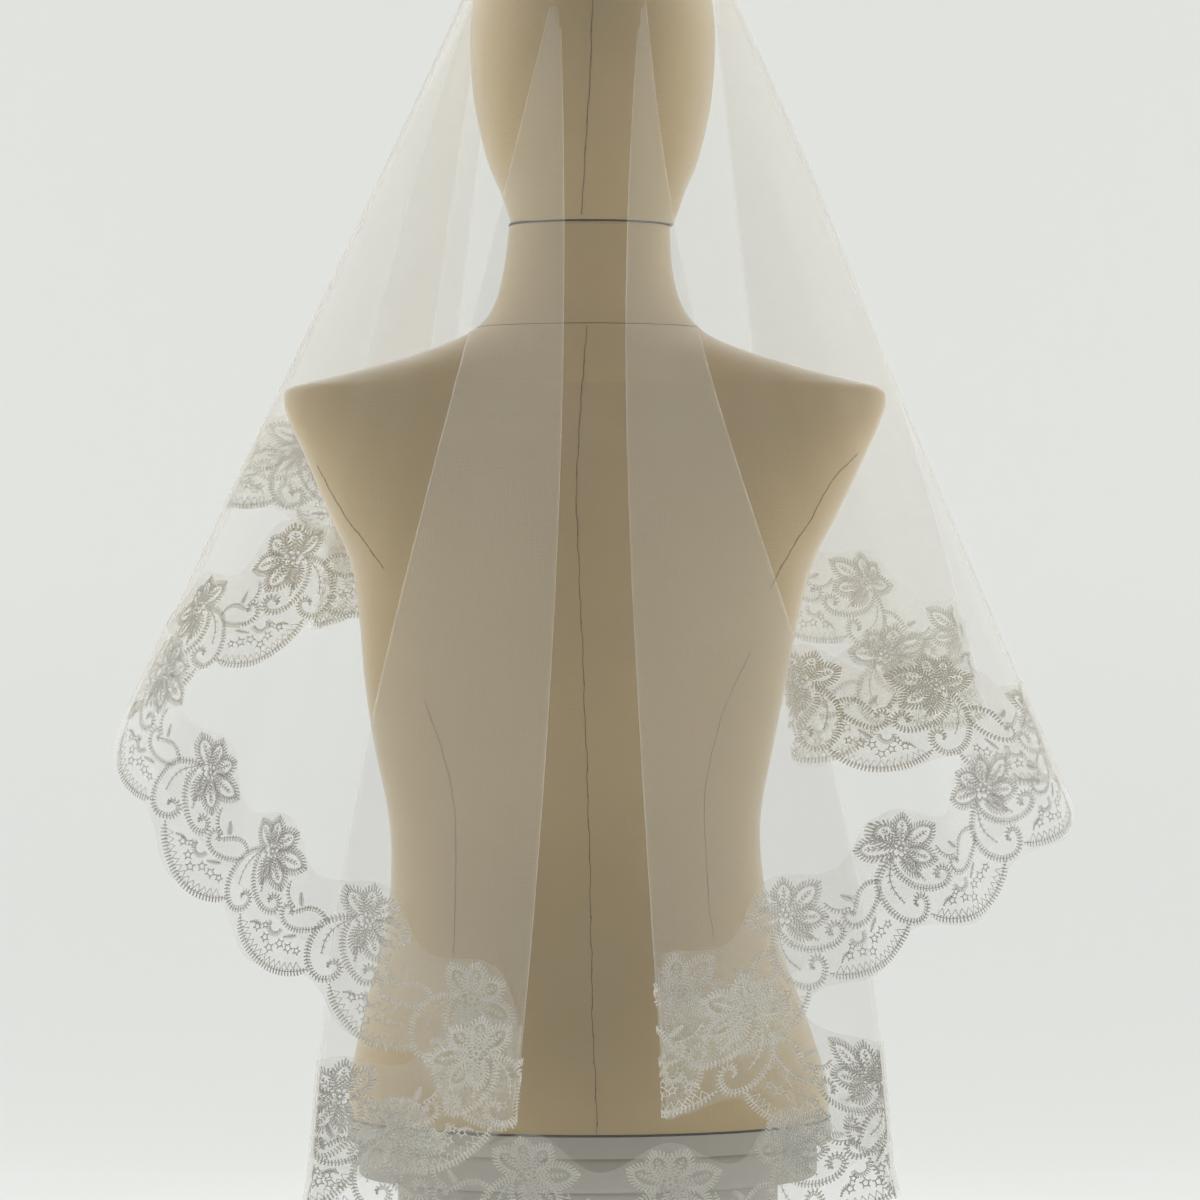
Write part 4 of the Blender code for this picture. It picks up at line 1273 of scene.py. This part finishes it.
def band_grid(band):
    """A narrow band round the torso: three rings, the middle one standing out."""
    angle = FORM_ANGLES[:, None]
    levels = band.z + band.height * np.array([-0.5, 0, 0.5])
    table = torso_levels(READ_ROWS)
    width, shift, front, back = [np.interp(levels, table[:, 0], table[:, i])[None] for i in (1, 2, 3, 4)]
    out = np.array([[BAND_EDGE_STAND, band.stand, BAND_EDGE_STAND]])
    x = np.cos(angle) * (width + out) + shift
    y = np.sin(angle) * (np.where(np.sin(angle) > 0, front, back) + out)
    return np.stack([x, y, np.broadcast_to(levels[None], x.shape)], axis=2)


# Operators


class VEIL_OT_tulle(bpy.types.Operator):
    """Hang the veil's tulle: its crown on the head and each stretch between two folds"""

    bl_idname = "veil.tulle"
    bl_label = "Hang the tulle"

    def execute(self, context):
        look = context.scene.veil_cloth
        material = net_material("veil tulle", look.tulle_colour, look.tulle_cover, TULLE_MESH)
        grid = crown_grid()
        crown = add_grid("veil_crown", grid, material, uv=grid[:, :, :2].reshape(-1, 2), closed=True)
        settle(crown, "tulle", "tulle_crown")
        # The crown's cut is a circle, which covers 0.785 of the square round it.
        for stretch in STRETCHES:
            grid = tulle_grid(stretch)
            piece = add_grid("veil_" + stretch.name, grid, material, uv=spread(grid))
            settle(piece, "tulle", "tulle_" + stretch.name)
            flat, area = cut_of(grid)
        return {"FINISHED"}


class VEIL_OT_lace(bpy.types.Operator):
    """Sew the embroidered lace edging on each stretch of the veil"""

    bl_idname = "veil.lace"
    bl_label = "Sew the lace"

    def execute(self, context):
        look = context.scene.veil_cloth
        net = net_material("lace net", look.tulle_colour, look.net_cover, NET_MESH)
        thread = thread_material(look.thread_colour, look.thread_painted_shade)
        pattern = motif()
        for stretch in STRETCHES:
            grid = net_grid(stretch)
            edging = add_grid("edging_" + stretch.name, grid, net, uv=spread(grid))
            settle(edging, "lace", "lace_" + stretch.name)
            points, faces, uv = embroidery(stretch, pattern, look.thread_width, look.thread_height)
            work = add_surface("embroidery_" + stretch.name, points, faces, thread, uv, smooth=False)
            settle(work, "lace")
            flat, area = cut_of_net(stretch)
        return {"FINISHED"}


class VEIL_OT_form(bpy.types.Operator):
    """Build the canvas dress form with its seams, its head and its painted base"""

    bl_idname = "veil.form"
    bl_label = "Build the dress form"

    def execute(self, context):
        look = context.scene.veil_form
        canvas = canvas_material("form canvas", look.canvas_colour, look.weave_pitch)
        torso = closed_piece("canvas_torso", body_rings(torso_levels(FORM_ROWS)), canvas)
        settle(torso, "canvas", "form_torso")
        head = closed_piece("canvas_head", body_rings(head_levels()), canvas)
        settle(head, "head_canvas", "form_head")
        paint = plain_material("base paint", look.base_colour, roughness=0.55, mottle=0.05, scale=14.0)
        line = plain_material("seam thread", look.seam_colour, roughness=0.85, mottle=0.5, scale=260.0)
        gap = plain_material("dark joint", look.joint_colour, roughness=0.8, mottle=0.2, scale=60.0)
        looks = {"paint": paint, "line": line, "gap": gap}
        for tier in TIERS:
            piece = closed_piece("base_" + tier.name, tier_rings(tier), paint)
            settle(piece, tier.slot, "form_" + tier.name)
        for seam in SEAMS:
            settle(add_grid("seam_" + seam.name, seam_ribbon(seam), line), "canvas")
        for band in BANDS:
            piece = add_grid(band.name, band_grid(band), looks[band.look], closed=True)
            settle(piece, "base_grey" if band.look == "paint" else "canvas")
        return {"FINISHED"}


def light_room(world, room, side, top):
    """Light from all round, with more from both sides and above.

    Its strength towards the direction (x, y, z) is room + side x^6 + top z^6.
    """
    world.use_nodes = True
    nodes = Nodes(world.node_tree)
    x, _, z = nodes.split(nodes.add("TexCoord", {}, output="Generated"))
    strength = nodes.calc("MULTIPLY_ADD", nodes.calc("POWER", x, LIGHT_POWER), side, room)
    strength = nodes.calc("MULTIPLY_ADD", nodes.calc("POWER", z, LIGHT_POWER), top, strength)
    nodes.fill(world.node_tree.nodes["Background"], {"Color": ROOM_COLOUR, "Strength": strength})
    world.cycles.sampling_method = "NONE"


def studio_material(glow, wings, pool):
    """A pale floor and backdrop that shine softly, and let the form be seen from behind them.

    The glow is glow s(y) (1 + wings s(|x|)) + pool s(r), with s a smooth step, y towards the backdrop, x
    along it and r the distance from the form.
    """
    material = plain_material("pale studio", STUDIO_COLOUR, roughness=0.9, mottle=0.01, scale=1.0)
    nodes = Nodes(material.node_tree)
    place, x, y, _ = nodes.on_object()
    away = nodes.add("VectorMath", {0: place}, output="Value", operation="LENGTH")

    def step(value, ends, full=1.0):
        """A smooth step from 0 to full between two ends."""
        inputs = {"Value": value, "From Min": ends[0], "From Max": ends[1], "To Max": full}
        return nodes.add("MapRange", inputs, interpolation_type="SMOOTHSTEP")

    wide = step(nodes.calc("ABSOLUTE", x), GLOW_BESIDE, wings) + 1.0
    shade = scaled(STUDIO_COLOUR, BACKDROP_SHADE)
    nodes.fill(material.node_tree.nodes["Principled BSDF"], {
        "Base Color": nodes.blend(step(y, GLOW_BEHIND), STUDIO_COLOUR, shade),
        "Emission Color": GLOW_COLOUR,
        "Emission Strength": step(y, GLOW_BEHIND, glow) * wide + step(away, GLOW_ROUND, pool),
        "Alpha": 1.0 - nodes.add("NewGeometry", {}, output="Backfacing"),
    })
    material.cycles.emission_sampling = "NONE"
    return material


class VEIL_OT_stage(bpy.types.Operator):
    """Set up the plain pale floor and backdrop, the soft lights and the camera"""

    bl_idname = "veil.stage"
    bl_label = "Set up the studio"

    def execute(self, context):
        scene = context.scene
        look = scene.veil_studio
        sweep = np.linspace(0, math.pi / 2, SWEEP_RINGS)
        far = look.backdrop_distance
        across = np.linspace(-STUDIO_HALF_WIDTH, STUDIO_HALF_WIDTH, STUDIO_COLUMNS)[:, None]
        back = np.concatenate([FLOOR_PLACES, far - SWEEP_RADIUS + SWEEP_RADIUS * np.sin(sweep), [far]])
        flat = np.zeros(len(FLOOR_PLACES))
        up = np.concatenate([flat, SWEEP_RADIUS - SWEEP_RADIUS * np.cos(sweep), [WALL_TOP]])
        grid = np.stack(np.broadcast_arrays(across, back, up), axis=2)
        pale = studio_material(look.backdrop_glow, look.wing_glow, look.floor_glow)
        add_grid("studio_floor", grid, pale)
        scene.world = scene.world or bpy.data.worlds.new("studio")
        light_room(scene.world, look.room_light, look.side_light, look.top_light)
        data = bpy.data.cameras.new("photo view")
        data.sensor_width = SENSOR_WIDTH
        data.lens = SENSOR_WIDTH * look.camera_distance / VIEW_WIDTH
        data.clip_end = 50.0
        camera = bpy.data.objects.new("photo view", data)
        camera.location = (VIEW_X, -look.camera_distance, VIEW_Z)
        camera.rotation_euler = (math.radians(90), 0, 0)
        scene.collection.objects.link(camera)
        scene.camera = camera
        scene.view_settings.view_transform = "Standard"
        scene.cycles.transparent_max_bounces = CLOTH_LAYERS
        return {"FINISHED"}


SETTINGS = {"veil_cloth": VeilCloth, "veil_form": FormLook, "veil_studio": StudioLook}
STEPS = {
    "veil_cloth": (VEIL_OT_tulle, VEIL_OT_lace),
    "veil_form": (VEIL_OT_form,),
    "veil_studio": (VEIL_OT_stage,),
}


class VEIL_PT_build(bpy.types.Panel):
    """Lists the steps that build the veil, and their settings"""

    bl_idname = "VEIL_PT_build"
    bl_label = "Bridal veil"
    bl_space_type = "VIEW_3D"
    bl_region_type = "UI"
    bl_category = "Veil"

    def draw(self, context):
        for name, steps in STEPS.items():
            box = self.layout.box()
            for setting in SETTINGS[name].__annotations__:
                box.prop(getattr(context.scene, name), setting)
            for step in steps:
                box.operator(step.bl_idname)


CLASSES = (*SETTINGS.values(), VEIL_OT_form, VEIL_OT_tulle, VEIL_OT_lace, VEIL_OT_stage, VEIL_PT_build)


def register():
    """Adds the settings, the steps and the panel to Blender."""
    for kind in CLASSES:
        bpy.utils.register_class(kind)
    for name, kind in SETTINGS.items():
        setattr(bpy.types.Scene, name, bpy.props.PointerProperty(type=kind))


def unregister():
    """Takes the settings, the steps and the panel out again."""
    for name in SETTINGS:
        delattr(bpy.types.Scene, name)
    for kind in reversed(CLASSES):
        bpy.utils.unregister_class(kind)


def main():
    """Builds the form, its veil and the studio."""
    register()
    bpy.ops.veil.form()
    bpy.ops.veil.tulle()
    bpy.ops.veil.lace()
    bpy.ops.veil.stage()


if __name__ == "__main__":
    main()
